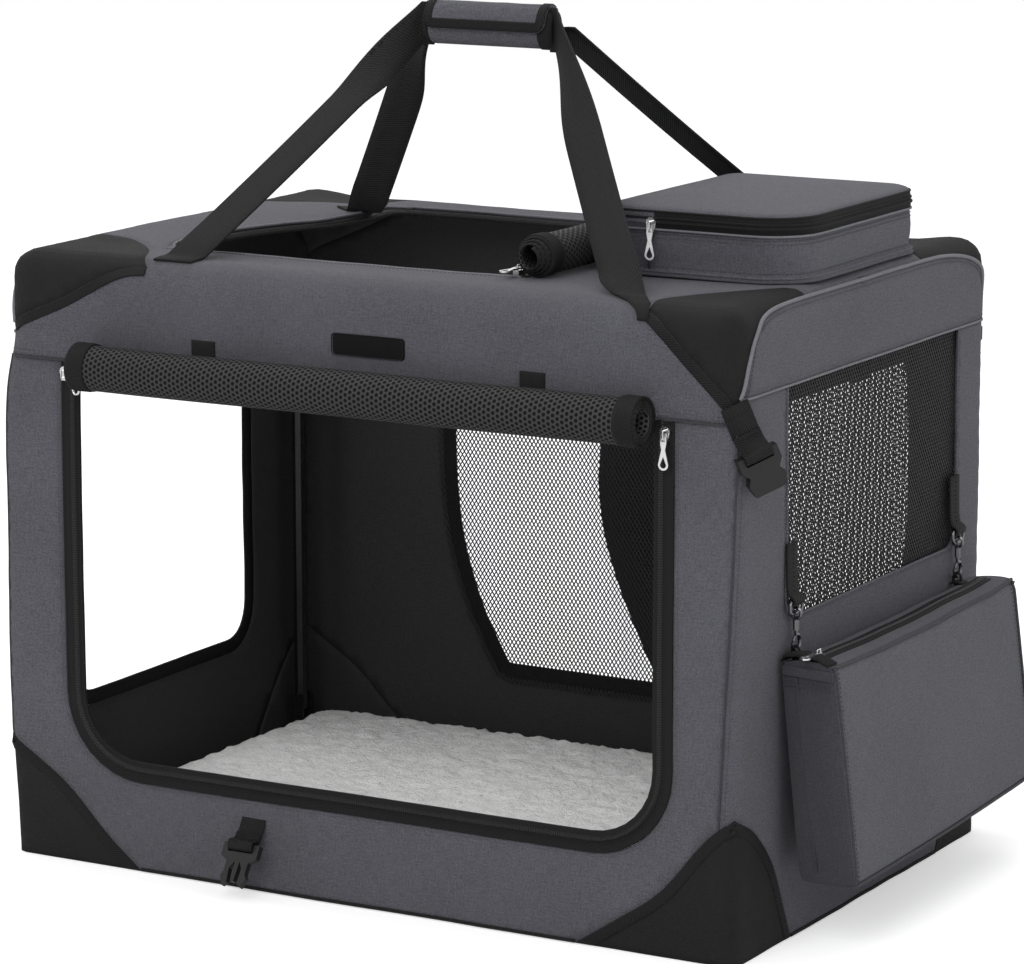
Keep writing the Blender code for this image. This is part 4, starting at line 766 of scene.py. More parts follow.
    def item(self, name, finishes, soft=False, sort=True):
        """The finished object, with its materials and, if sorted, with all its faces outwards."""
        if sort:
            bmesh.ops.recalc_face_normals(self.bm, faces=self.bm.faces)
        mesh = bpy.data.meshes.new(name)
        self.bm.to_mesh(mesh)
        self.bm.free()
        for finish in finishes:
            mesh.materials.append(finish)
        if soft:
            mesh.shade_smooth()
        item = bpy.data.objects.new(name, mesh)
        bpy.context.scene.collection.objects.link(item)
        return item

    def close(self, name, finish, body, keep=None, node=None):
        """The finished object of one material, on its body."""
        return carry(self.item(name, [finish]), body, keep, node)


def beads(frames, pitch, due):
    """Evenly spaced places along frames, with their axes."""
    run = 0.0
    for (point, normal, across), (after, _, _) in zip(frames, frames[1:]):
        distance = (after - point).length
        if distance < 1e-7:
            continue
        along = (after - point) / distance
        while due < run + distance:
            yield point + along * (due - run), normal, across, along
            due += pitch
        run += distance


def carry(item, body, keep=None, node=None):
    """Puts a piece on its body, with its first finish's slot and the solid that it stands for."""
    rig.ride(item, body)
    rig.slot(item, next(slot for slot, finishes in SLOTS.items() if item.data.materials[0] in finishes))
    if keep:
        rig.squash(item, FOLD, (0, 0, 1), (0, 0, 0), keep)
    if node:
        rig.replaces(item, node)
    return item


def thicken(item, thickness, inner=0, offset=-1.0):
    """Turns a sheet into a closed thin shell, on its inner side if offset is -1."""
    solid = item.modifiers.new("thickness", "SOLIDIFY")
    solid.thickness = thickness
    solid.offset = offset
    solid.material_offset = inner
    bpy.context.view_layer.update()
    graph = bpy.context.evaluated_depsgraph_get()
    item.data = bpy.data.meshes.new_from_object(item.evaluated_get(graph))
    item.modifiers.clear()
    return item


def band(width, thickness, shift=0.0, sink=0.0004):
    """The section of a flat tape with soft edges."""
    half = width / 2
    soft = min(0.0008, thickness * 0.8)
    side = [(half, -sink), (half, thickness * 0.5), (half - soft, thickness),
            (half * 0.4, thickness * 1.12)]
    return ([(shift - s, h) for s, h in side] + [(shift + s, h) for s, h in side[::-1]])


def cord_section(radius, lift):
    """The section of a round welt."""
    return [(radius * math.cos(a), radius * (lift + math.sin(a))) for a in turns(8)]


def path(*parts):
    """Places on the sharp box from parts that each give a face and its points."""
    return [on_box(face, *p) for face, points in parts for p in points]


def frames_along(places, lift=0.0):
    """Point, way out, and way across at each place of a line on the skin."""
    points, normals = zip(*(skin(q) for q in places))
    return [(point + normal * lift, normal, run_at(points, i).cross(normal).normalized())
            for i, (point, normal) in enumerate(zip(points, normals))]


def panel(node, regions, finish, flat, body, keep=None, hem=0.0, name=None):
    """A sewn cloth panel over one or more faces of the crate, lined with black."""
    shape, area = Shape(), hem
    for face, outline, holes in regions:
        area += shape.sheet(outline, lambda u, v: on_box(face, u, v), holes,
                            turned=face in ("back", "left"))
    bmesh.ops.remove_doubles(shape.bm, verts=shape.bm.verts, dist=3e-5)
    for vert in shape.bm.verts:
        vert.co = skin(vert.co)[0]
    item = shape.item(name or f"cover_{node}", [finish, LINING_PAINTED_LIGHTER], True, False)
    carry(thicken(item, CLOTH, 1), body, keep, node)
    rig.sheet(item, flat, "stretched", area=area)


# The edges of the corner patches, each from the crate's edge inwards or upwards

LEFT_TOE = 0.108
RIGHT_TOE = 0.1223
LEFT_TIP = 0.4708
RIGHT_TIP = 0.455
KNEE = Vector((0.3345, 0.1130))
SLIVER_TOP = 0.413
PATCH_FRONT_LEFT = smooth([(-0.225, 0.0), (-0.262, 0.030), (-0.305, 0.072), (-HALF_X, LEFT_TOE)])
PATCH_FRONT_RIGHT = smooth([(0.2035, 0.0), (0.2430, 0.0262), (0.2819, 0.0544), (0.3171, 0.0962),
                            KNEE, (HALF_X, RIGHT_TOE)])
PATCH_SIDE_LEFT = smooth([(-HALF_Y, LEFT_TOE), (-0.210, 0.090), (-0.172, 0.050), (-0.134, 0.0)])
PATCH_SIDE_RIGHT = smooth([(-HALF_Y, RIGHT_TOE), (-0.2096, 0.104), (-0.178, 0.071),
                           (-0.1568, 0.030), (-0.1432, 0.0)])
GUSSET_FRONT_LEFT = smooth([(-HALF_X, LEFT_TIP), (-0.292, 0.4995), (-0.2367, 0.5286),
                            (-0.2129, HEIGHT)])
GUSSET_FRONT_RIGHT = smooth([(HALF_X, RIGHT_TIP), (0.306, 0.4944), (0.2654, HEIGHT)])
GUSSET_SIDE_LEFT = smooth([(-HALF_Y, LEFT_TIP), (-0.234, 0.486), (-0.222, 0.505), (-0.200, 0.522),
                           (-0.165, 0.533), (-0.129, HEIGHT)])
GUSSET_SIDE_RIGHT = smooth([(-HALF_Y, RIGHT_TIP), (-0.2336, 0.4682), (-0.2264, 0.4909),
                            (-0.2183, 0.508), (-0.2024, 0.522), (-0.1781, 0.5305),
                            (-0.150, 0.534), (-0.112, HEIGHT)])
GUSSET_BACK_SIDE = smooth([(HALF_Y, RIGHT_TIP), (0.2415, 0.470), (0.2375, 0.487), (0.2300, 0.502),
                           (0.2160, 0.5145), (0.190, 0.5245), (0.152, 0.5325), (0.112, HEIGHT)])
GUSSET_TOP_LEFT = smooth([(-HALF_X, -0.129), (-0.3171, -0.1323), (-0.2841, -0.1496),
                          (-0.2446, -0.1877), (-0.2129, -HALF_Y)])
GUSSET_TOP_RIGHT = smooth([(HALF_X, -0.112), (0.3286, -0.118), (0.2909, -0.1665),
                           (0.2681, -0.2063), (0.2654, -HALF_Y)])

# For each side, its place and the curves on the front, on the side and on the top of its corners
SIDES = {
    "left": (-HALF_X, PATCH_FRONT_LEFT, PATCH_SIDE_LEFT, GUSSET_FRONT_LEFT,
             (GUSSET_SIDE_LEFT, mirrored(GUSSET_SIDE_LEFT)), GUSSET_TOP_LEFT),
    "right": (HALF_X, PATCH_FRONT_RIGHT, PATCH_SIDE_RIGHT, GUSSET_FRONT_RIGHT,
              (GUSSET_SIDE_RIGHT, GUSSET_BACK_SIDE), GUSSET_TOP_RIGHT),
}
ENDS = {"front": -HALF_Y, "back": HALF_Y}

FRONT_DOOR = open_top(-0.299, 0.293, 0.079, FRONT_SEAM, 0.075)
LEFT_DOOR = open_top(-0.160, 0.150, 0.105, SIDE_SEAM, 0.045)
RIGHT_WINDOW = open_top(-0.158, 0.176, 0.271, SIDE_SEAM, 0.018)
BACK_WINDOW = smooth([(-0.200, FRONT_SEAM), (-0.2012, 0.340), (-0.2010, 0.290), (-0.1985, 0.250),
                      (-0.1935, 0.214), (-0.184, 0.178), (-0.168, 0.136), (-0.1415, 0.0885),
                      (-0.134, 0.085), (0.165, 0.085), (0.203, 0.093), (0.235, 0.119),
                      (0.262, 0.165), (0.277, 0.214), (0.285, 0.274), (0.2845, 0.374),
                      (0.279, 0.420), (0.268, FRONT_SEAM)], 0.012)
ROOF_EDGE = smooth([(-0.172, 0.113), (-0.172, -0.205), (-0.164, -0.232), (-0.140, -0.248),
                    (-0.100, -0.253), (-0.050, -0.250), (0.006, -0.232), (0.050, -0.214),
                    (0.100, -0.209), (0.150, -0.208), (0.173, -0.198), (0.180, -0.170),
                    (0.180, 0.113)], 0.012)
ROOF_DOOR = swapped(ROOF_EDGE)


def corner_pieces():
    """The eight black patches: round the four bottom corners and the four top ones."""
    for side, (x, patch, patch_side, gusset, tips, gusset_top) in SIDES.items():
        for (end, y), tip in zip(ENDS.items(), tips):
            if end == "back":
                patch_side, gusset_top = mirrored(patch_side), flipped(gusset_top)
            panel(f"bottom_{end}_{side}_patch",
                  [(end, patch + [Vector((x, 0.0))], ()), (side, patch_side + [Vector((y, 0.0))], ())],
                  BLACK, (0.25, 0.125), "base", PATCH_KEEP)
            panel(f"top_{end}_{side}_patch",
                  [(end, gusset + [Vector((x, HEIGHT))], ()), (side, tip + [Vector((y, HEIGHT))], ()),
                   ("top", gusset_top + [Vector((x, y))], ())], BLACK, (0.22, 0.14), "roof")


def walls():
    """The four walls, the two headers, and the roof with its two hanging edges."""
    left, right = Vector((-HALF_X, FRONT_SEAM)), Vector((HALF_X, FRONT_SEAM))
    knee_down = [p for p in PATCH_FRONT_RIGHT if p.x < KNEE.x - 1e-4] + [KNEE]
    for end, opening, edge in (
            ("front", FRONT_DOOR, knee_down + [Vector((HALF_X, SLIVER_TOP))]),
            ("back", BACK_WINDOW, PATCH_FRONT_RIGHT)):
        hem = 0.020 * sum((b - a).length for a, b in zip(opening, opening[1:]))
        outline = PATCH_FRONT_LEFT + [left] + opening + [right] + edge[::-1]
        panel(f"{end}_wall", [(end, outline, ())], GREY, (2 * HALF_X, FRONT_SEAM), "base",
              FRONT_KEEP, hem)
    sliver = [KNEE, Vector((HALF_X, RIGHT_TOE)), Vector((HALF_X, SLIVER_TOP))]
    corners = [[Vector((y, SIDE_SEAM))] for y in ENDS.values()]
    for side, opening in (("left", LEFT_DOOR), ("right", RIGHT_WINDOW)):
        curve, tips = SIDES[side][2], SIDES[side][4]
        if side == "left":
            ends, regions = corners, []
            header = tips[0] + tips[1][::-1] + corners[1] + corners[0]
        else:
            ends = [below(tip, SIDE_SEAM) for tip in tips]
            ends[0] = [Vector((-HALF_Y, SLIVER_TOP))] + ends[0]
            regions = [("front", sliver, ())]
            header = above(tips[0], SIDE_SEAM) + above(tips[1], SIDE_SEAM)[::-1]
        outline = curve[::-1] + ends[0] + opening + ends[1][::-1] + mirrored(curve)
        panel(f"{side}_wall", [(side, outline, ())] + regions, GREY, (2 * HALF_Y, SIDE_SEAM), "base",
              SIDE_KEEP)
        panel(f"{side}_header", [(side, header, ())], GREY, (2 * HALF_Y, 0.080), "roof")
    fall = [left, right] + GUSSET_FRONT_RIGHT + GUSSET_FRONT_LEFT[::-1]
    top = (GUSSET_TOP_RIGHT[::-1] + flipped(GUSSET_TOP_RIGHT) + flipped(GUSSET_TOP_LEFT)[::-1]
           + GUSSET_TOP_LEFT)
    panel("roof_panel", [("front", fall, ()), ("back", fall, ()), ("top", top, (ROOF_DOOR,))],
          GREY, (2 * HALF_X, 0.672), "roof", name="cover_roof")


# Sewn trims that follow the skin


def trim(name, lines, profile, finish, body, keep=None):
    """One trim with the same section along each of its lines."""
    shape = Shape()
    for line in lines:
        shape.sweep(frames_along(densify(line, 0.006)), profile)
    shape.cut_at_floor()
    shape.close(name, finish, body, keep)


def stitches(name, lines, offsets, finish, body, keep=None):
    """Rows of stitches beside lines on the skin."""
    shape = Shape()
    for line in lines:
        for offset in offsets:
            shape.stitch(frames_along(densify(line, 0.006)), offset)
    shape.cut_at_floor()
    shape.close(name, finish, body, keep)


def clean(line):
    """The same line without points that lie on one another."""
    return line[:1] + [b for a, b in zip(line, line[1:]) if (b - a).length > 1e-5]


def seams():
    """Tapes, welts and stitches along the seams of the cover."""
    front_left, back_left = (path((end, GUSSET_FRONT_LEFT)) for end in ENDS)
    front_right, back_right = (path((end, GUSSET_FRONT_RIGHT)) for end in ENDS)
    for name, lines, way in (("a", (front_left, back_right), 1), ("b", (front_right, back_left), -1)):
        trim(f"gusset_tape_{name}", lines, band(0.0085, 0.0007, way * 0.0044), TAPE, "roof")
        stitches(f"gusset_stitches_{name}", lines, (way * 0.0016, way * 0.0074), BLACK_THREAD, "roof")
    names = iter("abcd")
    for side, (_, front, flank, *_) in SIDES.items():
        for end in ENDS:
            turned = flank if end == "front" else mirrored(flank)
            line = clean(path((end, front), (side, turned[1:])))
            if (end == "front") != (side == "right"):
                line = line[::-1]
            name = next(names)
            trim(f"patch_tape_{name}", [line], band(0.0095, 0.0007, 0.0050), TAPE, "base", PATCH_KEEP)
            stitches(f"patch_stitches_{name}", [line], (0.0016, 0.0084), BLACK_THREAD, "base",
                     PATCH_KEEP)
    across = [(-HALF_X, FRONT_SEAM), (HALF_X, FRONT_SEAM)]
    trim("front_seam_welt", [path((end, across)) for end in ENDS], cord_section(0.0011, 0.3),
         GREY_DARK, "roof")
    stitches("front_seam_stitches", [path(("front", across)), path(("back", across[::-1]))],
             [-0.006], THREAD, "roof")
    left_line = [(-HALF_Y, SIDE_SEAM), (HALF_Y, SIDE_SEAM)]
    headers = [above(tip, SIDE_SEAM) for tip in SIDES["right"][4]]
    right_line = path(("right", [header[0] for header in headers]))
    trim("side_seam_welt", [path(("left", left_line)), right_line], cord_section(0.0011, 0.3),
         PIPING, "roof")
    stitches("side_seam_stitches", [path(("left", left_line[::-1])), right_line], [-0.005], THREAD,
             "roof")
    right_rim = path(("right", headers[0] + headers[1][::-1]))
    left_rim = path(("left", GUSSET_SIDE_LEFT + mirrored(GUSSET_SIDE_LEFT)[::-1]))
    trim("header_piping", [right_rim, left_rim], cord_section(0.0017, 0.25), PIPING, "roof")
    stitches("header_stitches", [right_rim, left_rim[::-1]], [0.0055], THREAD, "roof")
    upright = [path(("front", [KNEE, (HALF_X, SLIVER_TOP), (HALF_X, FRONT_SEAM)]))]
    trim("corner_seam", upright, cord_section(0.0009, 0.1), GREY_DARK, "base", SIDE_KEEP)
    stitches("corner_stitches", upright, [0.0045], THREAD, "base", SIDE_KEEP)
    others = [path((end, [(x, toe), (x, FRONT_SEAM)])) for end, x, toe in (
        ("front", -HALF_X, LEFT_TOE), ("back", -HALF_X, LEFT_TOE), ("back", HALF_X, RIGHT_TOE))]
    trim("corner_seams_far", others, cord_section(0.0009, 0.1), GREY_DARK, "base", SIDE_KEEP)
    bottom = [path((face, [(low, 0.0015), (high, 0.0015)])) for face, low, high in (
        ("front", -0.225, 0.2035), ("back", -0.225, 0.2035), ("left", -0.134, 0.134),
        ("right", -0.1432, 0.1432))]
    trim("bottom_binding", bottom, cord_section(0.0016, 0.2), BLACK, "base", PATCH_KEEP)


# Door and window edges

NET_PITCH = 0.0036
NET_STRAND = 0.0011
NET_THICK = 0.0006
NET_DEPTH = 0.0033


def zip_section(wide=0.0):
    """Tape, coil and the fold of cloth beside it, seen in section, with a wider outer tape."""
    return [(-0.0065, -0.0016), (-0.0065, 0.0006), (-0.0058, 0.0011), (-0.0022, 0.0010),
            (-0.0019, 0.0019), (-0.0010, 0.0025), (0.0010, 0.0025), (0.0019, 0.0019),
            (0.0022, 0.0010), (0.0050 + wide, 0.0010), (0.0058 + wide, 0.0016),
            (0.0066 + wide, 0.0012), (0.0066 + wide, -0.0016)]


def zip_tape(name, frames, profile, body, keep=None, node=None):
    """A zip's tape with its coil."""
    shape = Shape()
    shape.sweep(frames, profile)
    shape.teeth(frames)
    carry(shape.item(name, [TAPE, COIL]), body, keep, node)


def door_zip(name, face, outline, distance, body, keep=None, node=None, lift=0.0, wide=0.0):
    """A zip along the edge of a doorway."""
    frames = frames_along(densify(path((face, inset(outline, distance))), 0.006), lift)
    zip_tape(name, frames, zip_section(wide), body, keep, node)


def net(name, outline, place, keep, node, flat):
    """A window net of two sets of crossing strands. place turns a flat point into a 3-D one."""
    loop = np.array(outline)
    after = np.roll(loop, -1, 0)
    shape = Shape()
    for family, lean in enumerate((57, -57)):
        along = np.array((math.cos(math.radians(lean)), math.sin(math.radians(lean))))
        across = np.array((-along[1], along[0]))
        starts, ends = loop @ across, after @ across
        depth = (family - 0.5) * NET_THICK * 0.6
        first = math.ceil(starts.min() / NET_PITCH)
        for index in range(first, math.floor(starts.max() / NET_PITCH) + 1):
            level = index * NET_PITCH
            cut = (starts > level) != (ends > level)
            share = ((level - starts[cut]) / (ends[cut] - starts[cut]))[:, None]
            cuts = sorted((loop[cut] + (after[cut] - loop[cut]) * share) @ along)
            for pair in zip(cuts[::2], cuts[1::2]):
                rows = [shape.points(
                    place(*(along * run + across * (level + s * NET_STRAND)), depth + h * NET_THICK)
                    for s, h in ((-0.5, -0.5), (0.5, -0.5), (0.5, 0.5), (-0.5, 0.5)))
                    for run in pair]
                shape.bridge(*rows)
                shape.face(rows[0])
                shape.face(rows[1])
    item = shape.close(name, NET, "base", keep, node)
    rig.sheet(item, flat, "stretched", area=fill(outline)[2])


def windows():
    """Both window nets with their hems, and the zips and bindings of the doors."""
    net("cover_right_net", capped(inset(RIGHT_WINDOW, -0.009), SIDE_SEAM),
        lambda u, v, h: (HALF_X - NET_DEPTH + h, u, v), SIDE_KEEP, "right_window_net",
        (0.352, 0.201))
    net("cover_back_net", capped(inset(BACK_WINDOW, -0.010), FRONT_SEAM),
        lambda u, v, h: (u, HALF_Y - NET_DEPTH - h, v), FRONT_KEEP, "back_window_net",
        (0.495, 0.368))
    dark_panel()
    line = densify(inset(BACK_WINDOW, 0.003), 0.006)
    runs = [run_at(line, i) for i in range(len(line))]
    frames = [(Vector((point.x, HALF_Y - CLOTH - 0.0012, point.y)), -NORTH,
               Vector((-run.y, 0, run.x))) for point, run in zip(line, runs)]
    border = Shape()
    border.sweep(frames, band(0.014, 0.0010))
    border.stitch(frames, 0.0055, 0.0014)
    border.close("back_window_border", TAPE, "base", FRONT_KEEP)
    door_zip("front_zip", "front", FRONT_DOOR, 0.0118, "base", FRONT_KEEP, "front_door_zip",
             wide=0.0050)
    door_zip("left_zip", "left", LEFT_DOOR[::-1], -0.0068, "base", SIDE_KEEP)
    door_zip("roof_zip", "top", ROOF_DOOR, -0.0052, "roof", node="top_door_zip", lift=-0.0050)
    trim("roof_door_rim", [path(("top", swapped(inset(ROOF_EDGE, -0.0006))))],
         cord_section(0.0012, 0.1), PIPING, "roof")
    for name, face, outline, top, keep, shift in (
            ("front_door_stitches", "front", FRONT_DOOR, FRONT_SEAM, FRONT_KEEP, -0.0035),
            ("left_door_stitches", "left", LEFT_DOOR, SIDE_SEAM, SIDE_KEEP, -0.0035),
            ("right_window_stitches", "right", RIGHT_WINDOW, SIDE_SEAM, SIDE_KEEP, -0.0040)):
        line = capped(inset(outline, shift), top)
        stitches(name, [path((face, line))], [0.0], THREAD, "base", keep)
    trim("right_window_edge", [path(("right", inset(RIGHT_WINDOW, -0.0004)))],
         cord_section(0.0013, 0.15), GREY, "base", SIDE_KEEP)
    stitches("roof_door_stitches", [path(("top", swapped(inset(ROOF_EDGE, -0.0045))))], [0.0],
             THREAD, "roof")
    trim("roof_door_edge", [path(("top", [(0.113, -0.172), (0.113, 0.180)]))],
         band(0.010, 0.0010), TAPE, "roof")


def dark_panel():
    """A dark piece of cloth behind the middle of the back window's net."""
    outline = smooth([(-0.036, 0.440), (-0.038, 0.312), (-0.040, 0.276), (-0.032, 0.222),
                      (-0.011, 0.165), (0.018, 0.105), (0.034, 0.080)])
    outline += smooth([(0.075, 0.080), (0.098, 0.165), (0.118, 0.222), (0.126, 0.276),
                       (0.124, 0.440)])
    shape, gap = Shape(), 0.0008
    area = shape.sheet(outline, lambda u, v: (
        u, HALF_Y - gap + 0.0012 * noise.noise(Vector((u * 20, v * 20, 3.0))), v))
    item = thicken(shape.item("back_window_middle", [LINING_PAINTED_LIGHTER], True, False), 0.0008)
    carry(item, "base", FRONT_KEEP)
    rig.sheet(item, (0.166, 0.36), "stretched", area=area)


# Rolled-up net doors

ROLL_PITCH = 0.0022
ROLL_THICK = 0.0015
BAND_WIDE = 0.017
BAND_RISE = 0.0006
TAB_LOW = 0.4560
TAB_TOP = 0.4715
TAB_WIDTH = 0.0235


def spiral(outer, hole):
    """Points of a wound cloth's outside and inside, and the length run at each."""
    rounds = (outer - hole - ROLL_THICK) / ROLL_PITCH
    steps = int(rounds * 30)
    outside, within, runs = [], [], [0.0]
    for i in range(steps + 1):
        angle = 2 * math.pi * rounds * i / steps
        radius = outer - ROLL_PITCH * rounds * i / steps
        radius += 0.0003 * noise.noise(Vector((angle * 0.7, outer * 90, 1.0)))
        way = Vector((math.cos(angle), math.sin(angle)))
        outside.append(way * radius)
        within.append(way * (radius - ROLL_THICK))
        if i:
            runs.append(runs[-1] + (outside[-1] - outside[-2]).length)
    return outside, within, runs


def roll(name, node, start, end, outer, hole, phase, slip=0.0):
    """A net door wound round itself between two points. Its inner turns slip out at the start."""
    start, end = Vector(start), Vector(end)
    axis = (end - start).normalized()
    aside = axis.cross(UP)
    length = (end - start).length
    outside, within, runs = spiral(outer, hole)
    turn = Matrix.Rotation(math.radians(phase), 2)
    shape, rows, stations = Shape(), [], 36
    for i in range(stations + 1):
        share = i / stations
        sway = 0.0006 * noise.noise(Vector((share * 5, outer * 70, 2.0)))
        swell = 1.0 - 0.012 * (0.5 + 0.5 * noise.noise(Vector((share * 9, 4.0, outer * 50))))
        centre = start + axis * (length * share) + UP * sway
        row = []
        for point in outside + within[::-1]:
            flat = turn @ point * swell
            deep = (outer - point.length) / (outer - hole)
            shifted = centre - axis * (slip * deep * (1 - share))
            row.append(shifted + aside * flat.x + UP * flat.y)
        rows.append((shape.points(row), [(share * length, run) for run in runs + runs[::-1]]))
    for (first, low), (second, high) in zip(rows, rows[1:]):
        shape.bridge(first, second, (low, high))
    for row, _ in (rows[0], rows[-1]):
        for i in range(len(outside) - 1):
            shape.face((row[i], row[i + 1], row[-2 - i], row[-1 - i]), slot=1)
    item = carry(shape.item(name, [ROLL_MESH, BLACK], True), "roof", node=node)
    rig.sheet(item, (round(length, 4), runs[-1]), "folded")

    profile = [(-0.0006, -0.0016), (-0.0010, BAND_RISE), (0.0015, BAND_RISE * 1.5)]
    profile += [(BAND_WIDE * (0.16 + 0.07 * k), BAND_RISE * (0.8 + 0.7 * (k % 2))) for k in range(11)]
    profile += [(BAND_WIDE, BAND_RISE * 0.5), (BAND_WIDE, -0.0008)]
    shape, count = Shape(), 40
    for centre, way in ((start, axis), (end, -axis)):
        rows = []
        for angle in turns(count):
            out = aside * math.cos(angle) + UP * math.sin(angle)
            rows.append(shape.points(centre + way * s + out * (outer + h - 0.0004) for s, h in profile))
        flat = [[(2 * math.pi * outer * i / count, s) for s, _ in profile] for i in range(count + 1)]
        for i in range(count):
            shape.bridge(rows[i], rows[(i + 1) % count], flat[i:i + 2], soft=True, closed=False)
    carry(thicken(shape.item(f"{name}_end_bands", [TAPE]), 0.0006), "roof")


def rolls():
    """The three rolled-up net doors with the tabs that they hang from."""
    front_y, side_x, level, top_x, top_z = -HALF_Y - 0.0215, -HALF_X - 0.0206, 0.4435, 0.1275, 0.5538
    roll("cover_front_roll", "front_door_roll", (-0.2655, front_y, level), (0.275, front_y, level),
         0.0205, 0.0105, 200)
    roll("cover_left_roll", "left_door_roll", (side_x, 0.150, level), (side_x, -0.160, level),
         0.0195, 0.0100, 200)
    roll("cover_roof_roll", "top_door_roll", (top_x, -0.172, top_z), (top_x, 0.180, top_z), 0.0175,
         0.0085, -80, 0.016)
    for name, face, u in (("front_tab_left", "front", -0.1525), ("front_tab_right", "front", 0.1640),
                          ("left_tab", "left", -0.005)):
        frames = frames_along(densify(path((face, [(u, TAB_TOP), (u, TAB_LOW)])), 0.003))
        shape = Shape()
        shape.sweep(frames, band(TAB_WIDTH, 0.0016))
        shape.stitch(frames, TAB_WIDTH / 2 - 0.002, 0.0022)
        shape.close(name, WEBBING, "roof")


def label():
    """The bare plate on the roof's hanging front edge, with a raised rim."""
    low, high = (-0.026, 0.4705), (0.044, 0.4885)
    middle = (Vector(low) + Vector(high)) / 2
    shape, rows = Shape(), []
    for shrink, lift in ((0.0, -0.0005), (0.0, 0.0014), (0.0006, 0.0020), (0.0014, 0.0020),
                         (0.0018, 0.0015), (0.004, 0.0016)):
        row = []
        for point in round_box(low, high, (0.003,) * 4):
            place, normal = skin(on_box("front", *(point + (middle - point).normalized() * shrink)))
            row.append(place + normal * lift)
        rows.append(shape.points(row))
    for k, (first, second) in enumerate(zip(rows, rows[1:])):
        shape.bridge(first, second, slot=1 if k == 3 else 0)
    shape.face(rows[0])
    shape.face(rows[-1])
    carry(shape.item("label_plate", [PLATE, THREAD]), "roof")


# Floor and mat

MAT_X = 0.3340
MAT_Y = 0.2275
MAT_LOW = 0.0026
MAT_TOP = 0.0375
MAT_CORNER = 0.030


def floor_cloth():
    """The floor cloth inside the walls' feet."""
    low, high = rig.box("floor_panel")
    shape = Shape()
    shape.sheet(round_box(low, high, (0.018,) * 4), lambda u, v: (u, v, 0.0020), step=0.02)
    item = thicken(shape.item("cover_floor", [LINING_PAINTED_LIGHTER], True, False), CLOTH)
    carry(item, "base", node="floor_panel")
    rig.sheet(item, (0.695, 0.483), "laid")


def fleece_height(x, y):
    """How far the pile stands up in its clumps, in metres."""
    place = Vector((x, y, 0.0))
    clumps = noise.noise(place * 62.0) + 0.6 * noise.noise(place * 140.0 + Vector((7, 3, 1)))
    curls = 0.35 * noise.noise(place * 300.0 + Vector((1, 9, 4)))
    return 0.0030 * clumps + 0.0075 * curls


def mat_point(u, v):
    """A point of the mat's upper side. u and v run from -1 to 1 over its width and depth."""
    x, y = u * MAT_X, v * MAT_Y
    over_x, over_y = abs(x) - MAT_X + MAT_CORNER, abs(y) - MAT_Y + MAT_CORNER
    rim = min(MAT_X - abs(x), MAT_Y - abs(y))
    if over_x > 0 and over_y > 0:
        spare = 1 - max(over_x, over_y) / math.hypot(over_x, over_y)
        x -= math.copysign(over_x * spare, x)
        y -= math.copysign(over_y * spare, y)
    drop = 0.013 * (1 - min(rim / 0.022, 1)) ** 2.4
    crown = 0.004 * (1 - u ** 4) * (1 - v ** 4)
    tuft = 0.0050 * noise.noise(Vector((x * 95, y * 95, 5.0))) * (1 - min(rim / 0.02, 1))
    height = MAT_TOP + crown - drop + fleece_height(x, y) - 0.004
    return Vector((x, y, height)) + Vector((u, v, 0)).normalized() * tuft


def mat():
    """The fleece mat: a soft pad with a tufted edge."""
    spacing = 0.0065 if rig.quick() else 0.0040
    columns, lines = round(2 * MAT_X / spacing), round(2 * MAT_Y / spacing)
    shape = Shape()
    top = [shape.points(mat_point(2 * i / columns - 1, 2 * j / lines - 1) for i in range(columns + 1))
           for j in range(lines + 1)]
    for first, second in zip(top, top[1:]):
        shape.bridge(first, second, closed=False)
    rim = (top[0] + [row[-1] for row in top[1:]] + top[-1][-2::-1]
           + [row[0] for row in top[-2:0:-1]])
    previous = rim
    for share in (0.22, 0.45, 0.70, 0.90, 1.0):
        bulge = 0.0018 * math.sin(math.pi * min(share * 1.1, 1)) - 0.04 * max(share - 0.85, 0)
        tuck = 0.0088 * ease((share - 0.1) / 0.35) + (0.004 if share == 1 else 0)
        ring = []
        for vert in rim:
            shake = 0.0022 * noise.noise(Vector((vert.co.x * 110, vert.co.y * 110, share * 6)))
            out = Vector((vert.co.x / MAT_X, vert.co.y / MAT_Y, 0)).normalized()
            point = vert.co + out * (min(bulge + shake, 0.0018) - tuck)
            point.z += (MAT_LOW - vert.co.z) * share
            ring.append(point)
        ring = shape.points(ring)
        shape.bridge(previous, ring)
        previous = ring
    shape.face(previous)
    item = carry(shape.item("cover_mat", [FLEECE], True), "base", MAT_KEEP, "fleece_mat")
    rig.padded(item, 0.7)


# Roof pocket

POCKET_LOW = Vector((0.1545, -0.1145))
POCKET_HIGH = Vector((0.3345, 0.1245))
POCKET_CORNERS = (0.042, 0.026, 0.020, 0.014)
ZIP_START = 0.2014


def pocket_ring(z, out):
    """One level of the pocket's outline, with soft unevenness."""
    corners = round_box(POCKET_LOW, POCKET_HIGH, POCKET_CORNERS, 6)
    outline = []
    for first, second in zip(corners, corners[1:] + corners[:1]):
        pieces = 10 if (second - first).length > 0.05 else 1
        outline += [first.lerp(second, i / pieces) for i in range(pieces)]
    middle = (POCKET_LOW + POCKET_HIGH) / 2
    ring = []
    for i, corner in enumerate(outline):
        run = run_at(outline, i, True)
        point = corner + Vector((run.y, -run.x)) * out
        shake = 0.0009 * noise.noise(Vector((point.x * 22, point.y * 22, z * 30)))
        point += (point - middle).normalized() * shake
        ring.append(Vector((point.x, point.y, z)))
    return ring


def ring_frames(ring):
    """Frames along a closed ring of points that stands upright."""
    frames = []
    for i, point in enumerate(ring):
        run = run_at(ring, i, True)
        normal = Vector((run.y, -run.x, 0)).normalized()
        frames.append((point, normal, run.cross(normal)))
    return frames + frames[:1]


